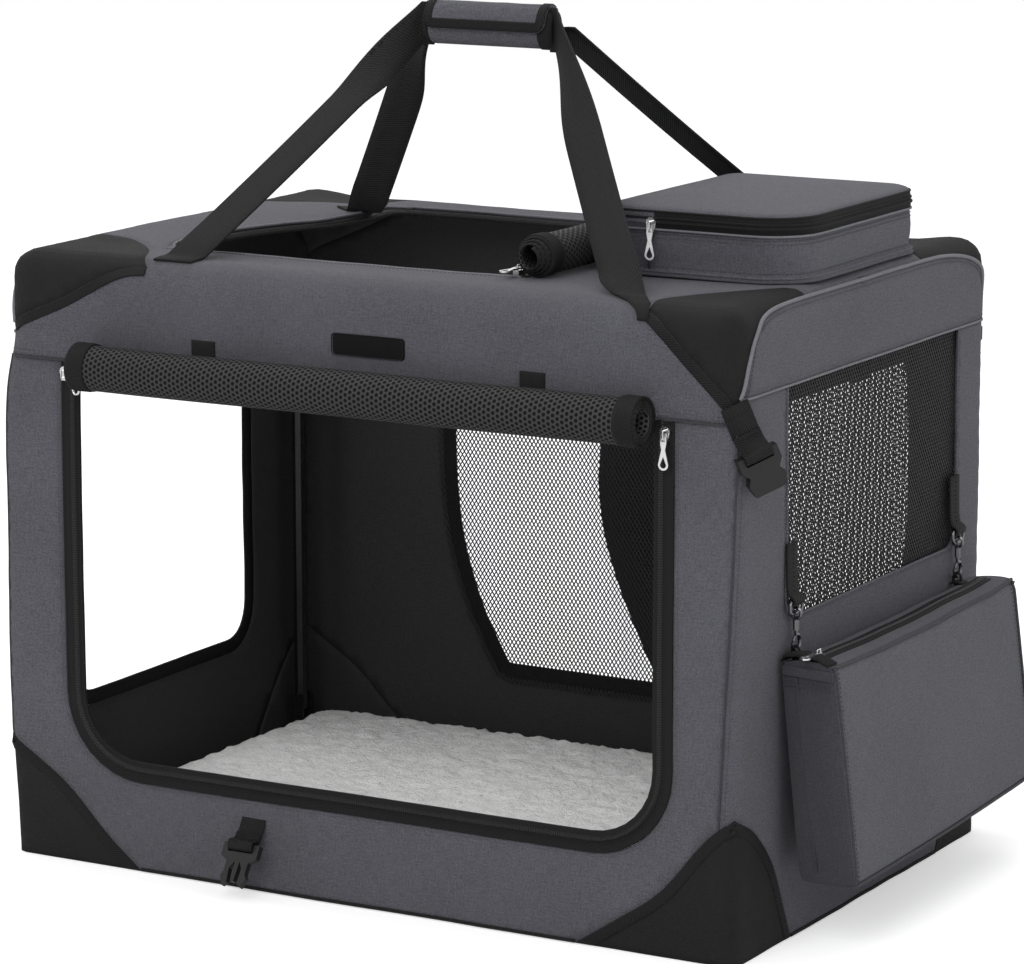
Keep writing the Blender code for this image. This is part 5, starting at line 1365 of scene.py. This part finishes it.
def welt(name, z, out, radius, finish, body):
    """A round welt along one level of the pocket."""
    shape = Shape()
    shape.sweep(ring_frames(pocket_ring(z, out))[:-1], cord_section(radius, 0.0), True)
    shape.close(name, finish, body)


def zipped(place):
    """Whether the zip's black tape reaches a place on the pocket's side."""
    return place.x > ZIP_START or (place.y > 0 and place.x > POCKET_LOW.x + 0.02)


def pocket():
    """The roof pocket's body, its crowned lid, the zip between them and their seams."""
    shape = Shape()
    shape.tube(pocket_ring(z, out) for z, out in (
        (0.5368, 0.0040), (0.5400, 0.0014), (0.5440, -0.0004), (0.5520, 0.0008),
        (0.5600, 0.0012), (0.5680, 0.0006), (0.5725, 0.0000), (0.5742, 0.0004)))
    body = thicken(shape.item("cover_pocket_body", [GREY, LINING_PAINTED_LIGHTER], True), CLOTH, 1)
    carry(body, "roof", node="pocket_body")
    welt("pocket_hem", 0.5398, 0.0020, 0.0012, GREY, "roof")

    shape = Shape()
    rows = shape.tube(pocket_ring(z, out) for z, out in (
        (0.5832, 0.0004), (0.5850, 0.0010), (0.5885, 0.0004), (0.5912, -0.0018),
        (0.5926, -0.0060)))

    def crown(point, share):
        dent = 0.0010 * noise.noise(Vector((point.x * 16, point.y * 16, 7.0)))
        return point + UP * (0.0050 * (1 - (1 - share) ** 2.2) + dent * share)

    shape.dome(rows[-1], (0.12, 0.28, 0.46, 0.64, 0.82), crown, UP * 0.0052, lambda p: p.xy)
    lid = shape.item("cover_pocket_lid", [GREY, LINING_PAINTED_LIGHTER, TAPE], True)
    for made in lid.data.polygons:
        if made.center.z < 0.5888 and zipped(made.center):
            made.material_index = 2
    carry(thicken(lid, CLOTH, 1), "lid", node="pocket_lid")

    shape = Shape()
    shape.tube(pocket_ring(z, out) for z, out in (
        (0.5740, 0.0000), (0.5748, 0.0012), (0.5784, 0.0012), (0.5790, 0.0022),
        (0.5800, 0.0029), (0.5810, 0.0022), (0.5816, 0.0012), (0.5832, 0.0012),
        (0.5836, 0.0000)))
    tape = shape.item("pocket_zip_tape", [TAPE, GREY], True)
    for made in tape.data.polygons:
        made.material_index = 0 if zipped(made.center) else 1
    carry(thicken(tape, 0.0010), "roof")
    welt("pocket_zip_welt_low", 0.5742, 0.0013, 0.0010, PIPING, "roof")
    welt("pocket_lid_line", 0.5836, 0.0012, 0.0010, BLACK, "lid")
    welt("pocket_lid_welt", 0.5890, 0.0004, 0.0010, BLACK, "lid")
    shape = Shape()
    for z, out in ((0.5708, 0.0010), (0.5676, 0.0010), (0.5436, 0.0006)):
        shape.stitch(ring_frames(pocket_ring(z, out)))
    shape.close("pocket_stitches", THREAD, "roof")
    frames = [(Vector((ZIP_START, POCKET_LOW.y - out, z)), -NORTH, EAST) for z, out in (
        (0.5400, 0.0010), (0.5520, 0.0010), (0.5640, 0.0010), (0.5735, 0.0004))]
    shape = Shape()
    shape.sweep(frames, cord_section(0.0009, 0.1))
    shape.stitch(frames, -0.004)
    shape.close("pocket_front_seam", GREY_DARK, "roof")


# Carrying handle

GRIP = Vector((-0.005, -0.015, 0.7228))
GRIP_HALF = 0.060
GRIP_Y = 0.012
GRIP_Z = 0.0175
FLAP_START = math.radians(62)
FLAP_END = math.radians(188)
FLAP_TURN = 0.53
FLAP_RISE = 0.29


def grip_point(x, angle, grow, half_y=GRIP_Y):
    """A point round the grip, x from its middle and grow out from its side."""
    return GRIP + Vector((x, (half_y + grow) * math.cos(angle), (GRIP_Z + grow) * math.sin(angle)))


def grip():
    """The padded grip."""
    shape = Shape()
    rows = shape.tube(
        [grip_point(GRIP_HALF * (2 * share - 1), angle, -0.0004 - shrink) for angle in turns(32)]
        for share, shrink in ((0.0, 0.0030), (0.015, 0.0008), (0.05, 0.0), (0.12, 0.0), (0.3, 0.0),
                              (0.5, 0.0), (0.7, 0.0), (0.88, 0.0), (0.95, 0.0), (0.985, 0.0008),
                              (1.0, 0.0030)))
    for row, x in ((rows[0], -GRIP_HALF), (rows[-1], GRIP_HALF)):
        shape.fan(row, shape.points([GRIP + EAST * x])[0])
    item = carry(shape.item("cover_grip", [GREY], True), "handle", node="handle_grip")
    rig.padded(item, 0.8)


def grip_flap():
    """The flap that wraps over the grip."""
    shape, rows, steps, columns = Shape(), [], 36, 30
    run, before = 0.0, None
    for i in range(steps + 1):
        angle = FLAP_START + (FLAP_END - FLAP_START) * i / steps
        middle = grip_point(0, angle, 0.0006 + 0.0008 * math.sin(math.pi * i / steps))
        run += (middle - before).length if before else 0.0
        before = middle
        rounding = max(0.0, angle - FLAP_END + FLAP_TURN) / FLAP_TURN
        half = 0.0595 - 0.0095 * (1 - math.sqrt(max(0.0, 1 - rounding ** 2)))
        out = Vector((0, math.cos(angle), math.sin(angle)))
        shares = [2 * j / columns - 1 for j in range(columns + 1)]
        row = shape.points(
            middle + EAST * (u * half) + out * (0.0006 * noise.noise(Vector((u * 4, i * 0.3, 2.0))))
            for u in shares)
        rows.append((row, [(u * half, run) for u in shares]))
    for (first, low), (second, high) in zip(rows, rows[1:]):
        shape.bridge(second, first, (high, low), closed=False)
    flap = thicken(shape.item("cover_grip_flap", [GREY, LINING_PAINTED_LIGHTER], True, False), 0.0020, offset=1.0)
    carry(flap, "flap", node="grip_flap")


def flap_border():
    """The tape round the flap's ends and its free edge, with its two rows of stitches."""
    edge, knee = -0.0553, FLAP_END - FLAP_TURN
    border = [(edge, FLAP_START + (knee - FLAP_START) * i / 16) for i in range(16)]
    border += [(edge + 0.0053 * (1 - math.cos(t)), knee + FLAP_RISE * math.sin(t))
               for t in (math.pi / 2 * i / 8 for i in range(9))]
    other = [(-x, angle) for x, angle in border[::-1]]
    border += [(x, knee + FLAP_RISE) for x in (-0.035, -0.018, 0.0, 0.018, 0.035)] + other
    line = [grip_point(x, angle, 0.0032) for x, angle in border]
    frames = []
    for i, (_, angle) in enumerate(border):
        normal = Vector((0, math.cos(angle) / GRIP_Y, math.sin(angle) / GRIP_Z)).normalized()
        frames.append((line[i], normal, run_at(line, i).cross(normal).normalized()))
    shape = Shape()
    shape.sweep(frames, band(0.0085, 0.0009))
    for offset in (0.0030, -0.0030):
        shape.stitch(frames, offset, 0.0013)
    shape.close("grip_flap_border", TAPE, "flap")


def leg_line(side, foot, across, upright, twist, flat, drop):
    """The middle line of one webbing leg, with its side vector at each point.

    The leg leaves the grip's end upright, turns to its last side vector over the length twist
    and lies flat on the roof before its foot. drop carries it on over the roof's front edge.
    """
    lane = 0.005 if foot[1] > 0 else -0.005
    start = GRIP + Vector((side * 0.0603, lane, 0))
    seam = start + EAST * (side * 0.006)
    toe = Vector((*foot, HEIGHT))
    plan = Vector((toe.x - start.x, toe.y - start.y, 0)).normalized()
    heel = toe - plan * flat + UP * 0.0014
    run = heel - seam
    way = run.normalized()
    across = Vector(across)
    level = Vector((across.x, across.y, 0)).normalized()
    across = (across - way * across.dot(way)).normalized()
    upright = UP * upright if upright else across
    points = [(start, upright)]
    for i in range(37):
        share = i / 36 * 0.985
        side_way = upright.slerp(across, ease(share * run.length / twist))
        side_way = side_way.slerp(level, ease((share - 0.86) / 0.125))
        points.append((seam + run * share - UP * (0.0025 * math.sin(math.pi * share)), side_way))
    bend = heel + plan * 0.005
    for t in (0.35, 0.7, 1.0):
        points.append(((seam + run * 0.985).lerp(heel, t).lerp(heel.lerp(bend, t), t), level))
    on_roof = [toe - plan * (flat - 0.009), toe]
    if drop:
        on_roof += [Vector((toe.x + plan.x * 0.004, -HALF_Y, HEIGHT)),
                    Vector((toe.x + plan.x * 0.006, -HALF_Y, HEIGHT - drop))]
    points += [(skin(q, 0.0013)[0], level) for q in densify(on_roof, 0.003)]
    return points, heel, plan, level


def legs():
    """Four legs of flat webbing, twisted at the grip and sewn to the roof."""
    quarter = [(-0.019, -0.0002), (-0.0186, -0.0010), (-0.008, -0.0011)]
    under = quarter + [(-s, h) for s, h in quarter[::-1]]
    section = under + [(s, -h) for s, h in under[::-1]]
    for name, side, foot, across, upright, twist, flat, drop in (
            ("front_left_leg", -1, (-0.1915, -0.232), (1, 0, 0.12), -1, 0.10, 0.012, 0.0),
            ("front_right_leg", 1, (0.2450, -0.232), (1, 0, 0.6), 1, 0.14, 0.012, 0.014),
            ("back_left_leg", -1, (-0.2260, 0.118), (1, 0, -0.5), -1, 0.10, 0.026, 0.0),
            ("back_right_leg", 1, (0.2015, 0.212), (1, -0.3, 0), 0, 0.04, 0.026, 0.0)):
        points, heel, plan, level = leg_line(side, foot, across, upright, twist, flat, drop)
        line = [point for point, _ in points]
        frames = []
        for i, (point, way) in enumerate(points):
            left = (line[-1] - point).length
            slim = 1.0 - 0.75 * ease((0.042 - left) / 0.042) if drop else 1.0
            frames.append((point + way * 0.019 * (1 - slim), run_at(line, i).cross(way).normalized(),
                           way * slim))
        shape = Shape()
        shape.sweep(frames, section)
        for shift in (-0.0160, 0.0160):
            shape.stitch(frames[:9], shift, 0.0014)
        if flat > 0.02:
            toe = Vector((*foot, HEIGHT + 0.0022))
            corners = [toe - plan * back + level * aside for back, aside in
                       ((0.021, 0.014), (0.003, 0.014), (0.003, -0.014), (0.021, -0.014))]
            for seam in (corners + corners[:1], corners[::2], corners[1::2]):
                spots = densify(seam, 0.006)
                shape.stitch([(spot, UP, run_at(spots, i).cross(UP)) for i, spot in enumerate(spots)])
        item = shape.item(f"cover_{name}", [WEBBING])
        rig.slot(item, "black_webbing")
        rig.replaces(item, name)
        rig.blend(item, "roof", "handle", heel, line[1])


def end_caps():
    """The black covers over the grip's ends."""
    shape = Shape()
    for side, inner in ((-1, 0.0575), (1, 0.0505)):
        rows = [shape.points(grip_point(side * x, angle, grow, 0.0115) for angle in turns(28))
                for x, grow in ((inner, 0.0003), (0.0600, 0.0003), (0.0625, -0.0006), (0.0640, -0.0020))]
        for first, second in zip(rows, rows[1:]):
            shape.lay(shape.bridge(first, second, soft=True), lambda p: (p.x + p.y, p.z))
        shape.face(rows[0])
        shape.face(rows[-1])
    shape.close("grip_end_caps", BLACK, "handle")


# Side bag with its hooks and straps

BAG_FRONT = -0.172
BAG_BACK = 0.192
BAG_TOP = 0.240
BAG_LOW = 0.055
BAG_THICK_TOP = 0.047
BAG_THICK_LOW = 0.0505
BAG_ROUNDING = 0.011
BAG_GIRTH = 0.49


def bag_back(z):
    """How far out the bag's back face is at a height."""
    return 0.3531 + 0.0195 * (BAG_TOP - z) / (BAG_TOP - BAG_LOW)


def bag_point(t, s):
    """A point of the bag's shell: t runs from its front end to its back end, s round its section."""
    full = math.sin(math.pi * min(max(t, 0.0), 1.0)) ** 0.6
    dip = 0.0050 * full + 0.0022 * noise.noise(Vector((t * 5, 1.0, 3.0))) * full
    top_back = BAG_TOP - 0.001 - dip * 0.6
    top_front = BAG_TOP - dip + 0.0035 * t
    low = BAG_LOW + 0.0015 + 0.0020 * (1 - full) + 0.0100 * t
    corners = [Vector((bag_back(z) + thick, z)) for z, thick in (
        (top_back, 0.0), (low, 0.0), (low, BAG_THICK_LOW), (top_front, BAG_THICK_TOP))]
    cuts = (0.0, 0.36, 0.46, 0.86, 1.0)
    index = max(k for k in range(4) if cuts[k] <= s)
    share = (s - cuts[index]) / (cuts[index + 1] - cuts[index])
    first, second = corners[index], corners[(index + 1) % 4]
    way = (second - first).normalized()
    near = min(share, 1 - share) * (second - first).length
    rounding = max(0.0, 1 - near / BAG_ROUNDING)
    move = -BAG_ROUNDING * 0.30 * rounding ** 2 * (0.5 if index == 3 else 1.0)
    if index == 2:
        move += 0.0035 * math.sin(math.pi * share) * full
        move += 0.0012 * noise.noise(Vector((t * 6, share * 4, 8.0))) * full
    if index == 3:
        move += 0.0020 * math.sin(math.pi * share)
    point = first.lerp(second, share) + Vector((way.y, -way.x)) * move
    return Vector((point.x, BAG_FRONT + (BAG_BACK - BAG_FRONT) * t, point.y))


def bag():
    """The side bag: a sewn shell that sags a little, with end gussets, welts and a zip."""
    rounds, lengths = 64, 44
    shape = Shape()
    rows = [shape.points(bag_point(i / lengths, j / rounds) for j in range(rounds))
            for i in range(lengths + 1)]
    flat = [[(i * (BAG_BACK - BAG_FRONT) / lengths, j * BAG_GIRTH / rounds) for j in range(rounds + 1)]
            for i in range(lengths + 1)]
    for i in range(lengths):
        shape.bridge(rows[i], rows[i + 1], flat[i:i + 2])
    puffs = {0.06: 0.0008, 0.3: 0.0028, 0.65: 0.0040}
    for row, way in ((rows[0], -1), (rows[-1], 1)):

        def puffed(point, share):
            crease = 0.0012 * noise.noise(Vector((point.x * 60, way, point.z * 22)))
            return point + NORTH * (way * (puffs[share] + crease * share))

        shape.dome(row, puffs, puffed, NORTH * (way * 0.0042), lambda p: p.xz, 1)
    item = thicken(shape.item("cover_bag", [GREY, GREY_DARK], True), CLOTH)
    carry(item, "side_bag", node="bag_body")

    lines = [[bag_point(t, s / 100) for s in range(46, 87)] for t in (0.006, 0.994)]
    lines += [[bag_point(t / 40, s) for t in range(41)] for s in (0.858, 0.462)]
    welts, sewn = Shape(), Shape()
    centre = Vector((0.392, 0.010, 0.145))
    for line in lines:
        frames = []
        for i, point in enumerate(line):
            run = run_at(line, i)
            out = (EAST - run * EAST.dot(run)).normalized()
            frames.append((point, out, run.cross(out).normalized()))
        welts.sweep(frames, cord_section(0.0016, 0.2))
        middle, _, across = frames[len(frames) // 2]
        sewn.stitch(frames, 0.0052 if across.dot(centre - middle) > 0 else -0.0052, 0.0009)
    welts.close("bag_welts", GREY_DARK, "side_bag")
    sewn.close("bag_stitches", THREAD, "side_bag")
    frames = [(bag_point(0.03 + 0.94 * i / 44, 0.93) + UP * 0.0004, UP, EAST) for i in range(45)]
    zip_tape("bag_zip_tape", frames, [(-s, h) for s, h in zip_section()[::-1]], "side_bag")


def bag_end():
    """The seam down the bag's front gusset, the hem over it and the little black corner flap."""
    shape = Shape()
    y = BAG_FRONT - 0.0030
    for z in (0.226, 0.2215):
        shape.stitch([(Vector((bag_back(z) + s, y, z - 0.0015 * s / 0.05)), -NORTH, UP)
                      for s in (0.003, 0.014, 0.026, 0.038, 0.046)], height=0.0016)
    shape.sweep([(Vector((bag_back(0.232) + s, y + 0.0004, 0.2335 - 0.002 * s / 0.05)), -NORTH, UP)
                 for s in (0.002, 0.014, 0.026, 0.038, 0.047)], band(0.008, 0.0012))
    shape.sweep([(Vector((bag_back(z) + 0.014 + 0.004 * (0.23 - z) / 0.17, y - 0.0004, z)), -NORTH,
                  EAST) for z in (0.228, 0.19, 0.15, 0.11, 0.07)], cord_section(0.0009, 0.1))
    shape.close("bag_end_seams", GREY_DARK, "side_bag")
    shape = Shape()
    shape.sweep([(Vector((x, BAG_FRONT + 0.007, z)), UP, -NORTH) for x, z in (
        (0.3535, 0.2395), (0.3560, 0.2440), (0.3700, 0.2460), (0.3860, 0.2440),
        (0.3960, 0.2395))], band(0.016, 0.0016))
    shape.close("bag_corner_flap", BLACK, "side_bag")


def circle(centre, across, rise):
    """Points round an upright oval, seen from the front."""
    return [Vector(centre) + EAST * (across * math.cos(a)) + UP * (rise * math.sin(a))
            for a in turns(20)]


def hanging():
    """Both hanging straps with their rings, and the bag's loops."""
    x, ring_low = 0.3567, 0.2760
    line = [Vector(p) for p in (
        (0.3522, 0.334), (0.3524, 0.318), (0.3528, 0.300), (0.3540, 0.2920), (0.3580, 0.2894),
        (0.3600, 0.2872), (0.3590, 0.2840), (0.3560, 0.2836), (0.3540, 0.2850), (0.3535, 0.2880))]
    for end, y in (("front", -0.152), ("back", 0.168)):
        frames = []
        for i, point in enumerate(line):
            run = run_at(line, i)
            frames.append((Vector((point.x, y, point.y)), Vector((run.x, 0, run.y)).cross(NORTH), NORTH))
        shape = Shape()
        shape.sweep(frames, band(0.019, 0.0010, sink=0.0008))
        shape.stitch(frames[:4], height=0.0018)
        strap = shape.close(f"cover_{end}_hang_strap", WEBBING, "base", node=f"{end}_hang_strap")
        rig.squash(strap, FOLD, (0, 0, 1), (x, y, 0.284), STRAP_KEEP)
        shape = Shape()
        outline = round_box((y - 0.011, ring_low), (y + 0.011, ring_low + 0.011), (0.004,) * 4)
        shape.wire(densify([Vector((x, *p)) for p in outline], 0.003, True), 0.0015)
        shape.close(f"{end}_wall_ring", DARK_METAL, "base")
        shape = Shape()
        shape.wire(circle((x, y, 0.2428), 0.0036, 0.0058), 0.0013)
        shape.sweep([(Vector((0.3528 + s, y, 0.2390 + h)), UP, NORTH) for s, h in (
            (0.0, 0.0), (0.004, 0.0012), (0.008, 0.0012), (0.012, 0.0))], band(0.012, 0.0014))
        shape.close(f"{end}_bag_loop", WEBBING, "side_bag")


# Closing straps and the left slider's ring


def hanging_frame(root, out, tilt=0.0, lean=0.0):
    """Axes of a strap sewn at root: u across it, v up along it and w away from the cloth."""
    out = Vector(out)
    turn = Matrix((UP.cross(out), UP, out)).transposed().to_4x4()
    turn = turn @ Matrix.Rotation(tilt, 4, "Z") @ Matrix.Rotation(lean, 4, "X")
    return Matrix.Translation(Vector(root)) @ turn


def closing_strap(place, matrix, length, thick):
    """Webbing sewn at its root, folded round its buckle's bar and stitched to itself."""
    t, half = 0.0017, 0.0118
    under = -length - 0.0044 - t / 2
    over = -length + 0.0004 + t / 2
    top = t + thick + 0.0028 + t / 2
    curve = [Vector((0.006, t * 0.55))] + smooth([
        (0.0, t * 0.6), (-length * 0.5, t * 0.6), (under + 0.002, t * 0.6),
        (under - 0.0004, t * 1.6), (under - 0.0006, top * 0.5), (under, top - 0.001),
        (under + 0.0018, top), (over, top), (over + 0.0016, top * 0.7),
        (over + thick * 0.7, t * 2.4), (over + thick + 0.004, t * 1.7)], 0.0015)
    turn = matrix.to_3x3()
    frames = []
    for i, point in enumerate(curve):
        run = run_at(curve, i)
        normal = Vector((0, run.x, run.y)).cross(EAST)
        frames.append((matrix @ Vector((0, *point)), turn @ normal, turn @ EAST))
    shape = Shape()
    shape.sweep(frames, [(-half, -t / 2), (half, -t / 2), (half + 0.0002, 0.0), (half, t / 2),
                         (-half, t / 2), (-half - 0.0002, 0.0)])
    for v, w in ((over + thick + 0.0015, t * 2.4), (-0.003, t * 1.1)):
        shape.stitch([(matrix @ Vector((u, v, w)), turn @ UP, turn @ NORTH)
                      for u in (-0.010, -0.005, 0.0, 0.005, 0.010)], height=0.0008)
    shape.close(f"cover_{place}_strap", WEBBING, f"{place}_buckle", node=f"{place}_strap")


def closing_straps():
    """The short straps of the three buckles."""
    closing_strap("front", hanging_frame((-0.108, -0.2443, 0.060), -NORTH, 0.0, -math.radians(32)),
                  0.022, 0.006)
    slant = math.sqrt(0.5)
    corner = 0.020 * (1 - slant) - 0.0006
    closing_strap("side", hanging_frame((HALF_X - corner, -HALF_Y + corner, 0.454),
                                        (slant, -slant, 0), math.radians(23)), 0.034, 0.010)
    closing_strap("back", hanging_frame((0.320, 0.2443, 0.468), NORTH), 0.016, 0.010)


def left_pull():
    """The small ring on the front door's left slider."""
    shape = Shape()
    shape.wire(circle((-0.2797, -HALF_Y - 0.0060, 0.4200), 0.0032, 0.0045), 0.0011)
    shape.close("front_left_ring", BRIGHT, "base", FRONT_KEEP)


def finish_frame():
    """Better materials on the hard pieces that keep their own shape."""
    for finish, names in (
            (STEEL, ("bottom_ring", "top_ring", "left_end_frame", "right_end_frame")),
            (PLASTIC, ("left_clip", "right_clip", "front_male_buckle", "side_female_buckle",
                       "back_female_buckle")),
            (BRIGHT, ("front_left_slider", "front_right_slider", "front_right_pull", "top_slider",
                      "top_pull", "pocket_slider", "pocket_pull", "bag_slider", "bag_pull")),
            (DARK_METAL, ("front_snap_hook", "back_snap_hook", "front_hook_gate",
                          "back_hook_gate"))):
        for name in names:
            node = frame["nodes"][name]
            for place in node.material_slots:
                place.material = finish
            for made in node.data.polygons:
                made.use_smooth = True
            node.data.set_sharp_from_angle(angle=math.radians(32))


# Floor, light and camera


def stage():
    """A pale floor that keeps the crate's shadow, under a white surround."""
    nodes = Nodes("pale_floor", 0.9, specular=0.1)
    cloud = nodes.noise(nodes.solid(), 1.5, 2.0)
    nodes.link(nodes.mix(cloud, (0.90, 0.90, 0.90), (0.93, 0.93, 0.93)), nodes.shader, "Base Color")
    seen = nodes.add("ShaderNodeLightPath").outputs["Is Camera Ray"]
    glow = nodes.add("ShaderNodeEmission", {0: (1, 1, 1, 1), 1: nodes.times(seen, 0.42)})
    whole = nodes.add("ShaderNodeAddShader", {0: nodes.shader.outputs[0], 1: glow.outputs[0]})
    nodes.link(whole.outputs[0], nodes.tree.nodes["Material Output"], 0)
    shape = Shape()
    bmesh.ops.create_grid(shape.bm, x_segments=8, y_segments=8, size=6.0)
    bmesh.ops.translate(shape.bm, vec=(0, 0, -0.0006), verts=shape.bm.verts)
    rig.stage(shape.item("floor_stage", [nodes.material], True, False))

    world = bpy.data.worlds.new("surround")
    bpy.context.scene.world = world
    world.use_nodes = True
    tree = world.node_tree
    tree.nodes.clear()
    rays = add_node(tree, "ShaderNodeLightPath").outputs
    bright = rays["Is Camera Ray"]
    for ray in ("Is Glossy Ray", "Is Transmission Ray"):
        bright = add_node(tree, "ShaderNodeMath", {0: bright, 1: rays[ray]},
                          operation="MAXIMUM").outputs[0]
    light, white = (add_node(tree, "ShaderNodeBackground", {0: (1, 1, 1, 1), 1: strength}).outputs[0]
                    for strength in (0.62, 1.0))
    mix = add_node(tree, "ShaderNodeMixShader", {0: bright, 1: light, 2: white})
    add_node(tree, "ShaderNodeOutputWorld", {"Surface": mix.outputs[0]})


def placed(name, data):
    """A new lamp or camera object in the scene."""
    item = bpy.data.objects.new(name, data)
    bpy.context.scene.collection.objects.link(item)
    return item


def lamp(name, place, size, power):
    """A soft square lamp that looks at the crate."""
    data = bpy.data.lights.new(name, "AREA")
    data.shape = "SQUARE"
    data.size = size
    data.energy = power
    item = placed(name, data)
    item.location = place
    item.rotation_euler = (Vector((0, 0, 0.25)) - Vector(place)).to_track_quat("-Z", "Y").to_euler()


def camera():
    """The camera that was fitted to the photograph."""
    yaw, pitch, roll_angle = -0.5170, 0.1947, -0.0013
    forward = Vector((math.sin(yaw) * math.cos(pitch), math.cos(yaw) * math.cos(pitch),
                      -math.sin(pitch)))
    right = Vector((math.cos(yaw), -math.sin(yaw), 0))
    up = right.cross(forward)
    turned = right * math.cos(roll_angle) + up * math.sin(roll_angle)
    upward = up * math.cos(roll_angle) - right * math.sin(roll_angle)
    data = bpy.data.cameras.new("camera")
    data.sensor_width = 36.0
    data.lens = 156.42
    item = placed("camera", data)
    turn = Matrix((turned, upward, -forward)).transposed().to_4x4()
    item.matrix_world = Matrix.Translation((1.8921, -3.3173, 1.0765)) @ turn
    bpy.context.scene.camera = item


corner_pieces()
walls()
seams()
windows()
rolls()
label()
floor_cloth()
mat()
pocket()
grip()
grip_flap()
flap_border()
legs()
end_caps()
bag()
bag_end()
hanging()
closing_straps()
left_pull()
finish_frame()
stage()
lamp("key_light", (0.6, -3.4, 2.8), 2.4, 66)
lamp("fill_light", (3.2, -0.6, 1.9), 2.4, 18)
lamp("top_light", (-0.8, 0.8, 3.4), 2.6, 34)
camera()
bpy.context.scene.view_settings.view_transform = "Standard"

sizes = {"cad": [list(c) for c in CAD_BOX], "visual": [list(c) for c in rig.bounds()]}
with open("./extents.json", "w") as file:
    json.dump(sizes, file, indent=1)
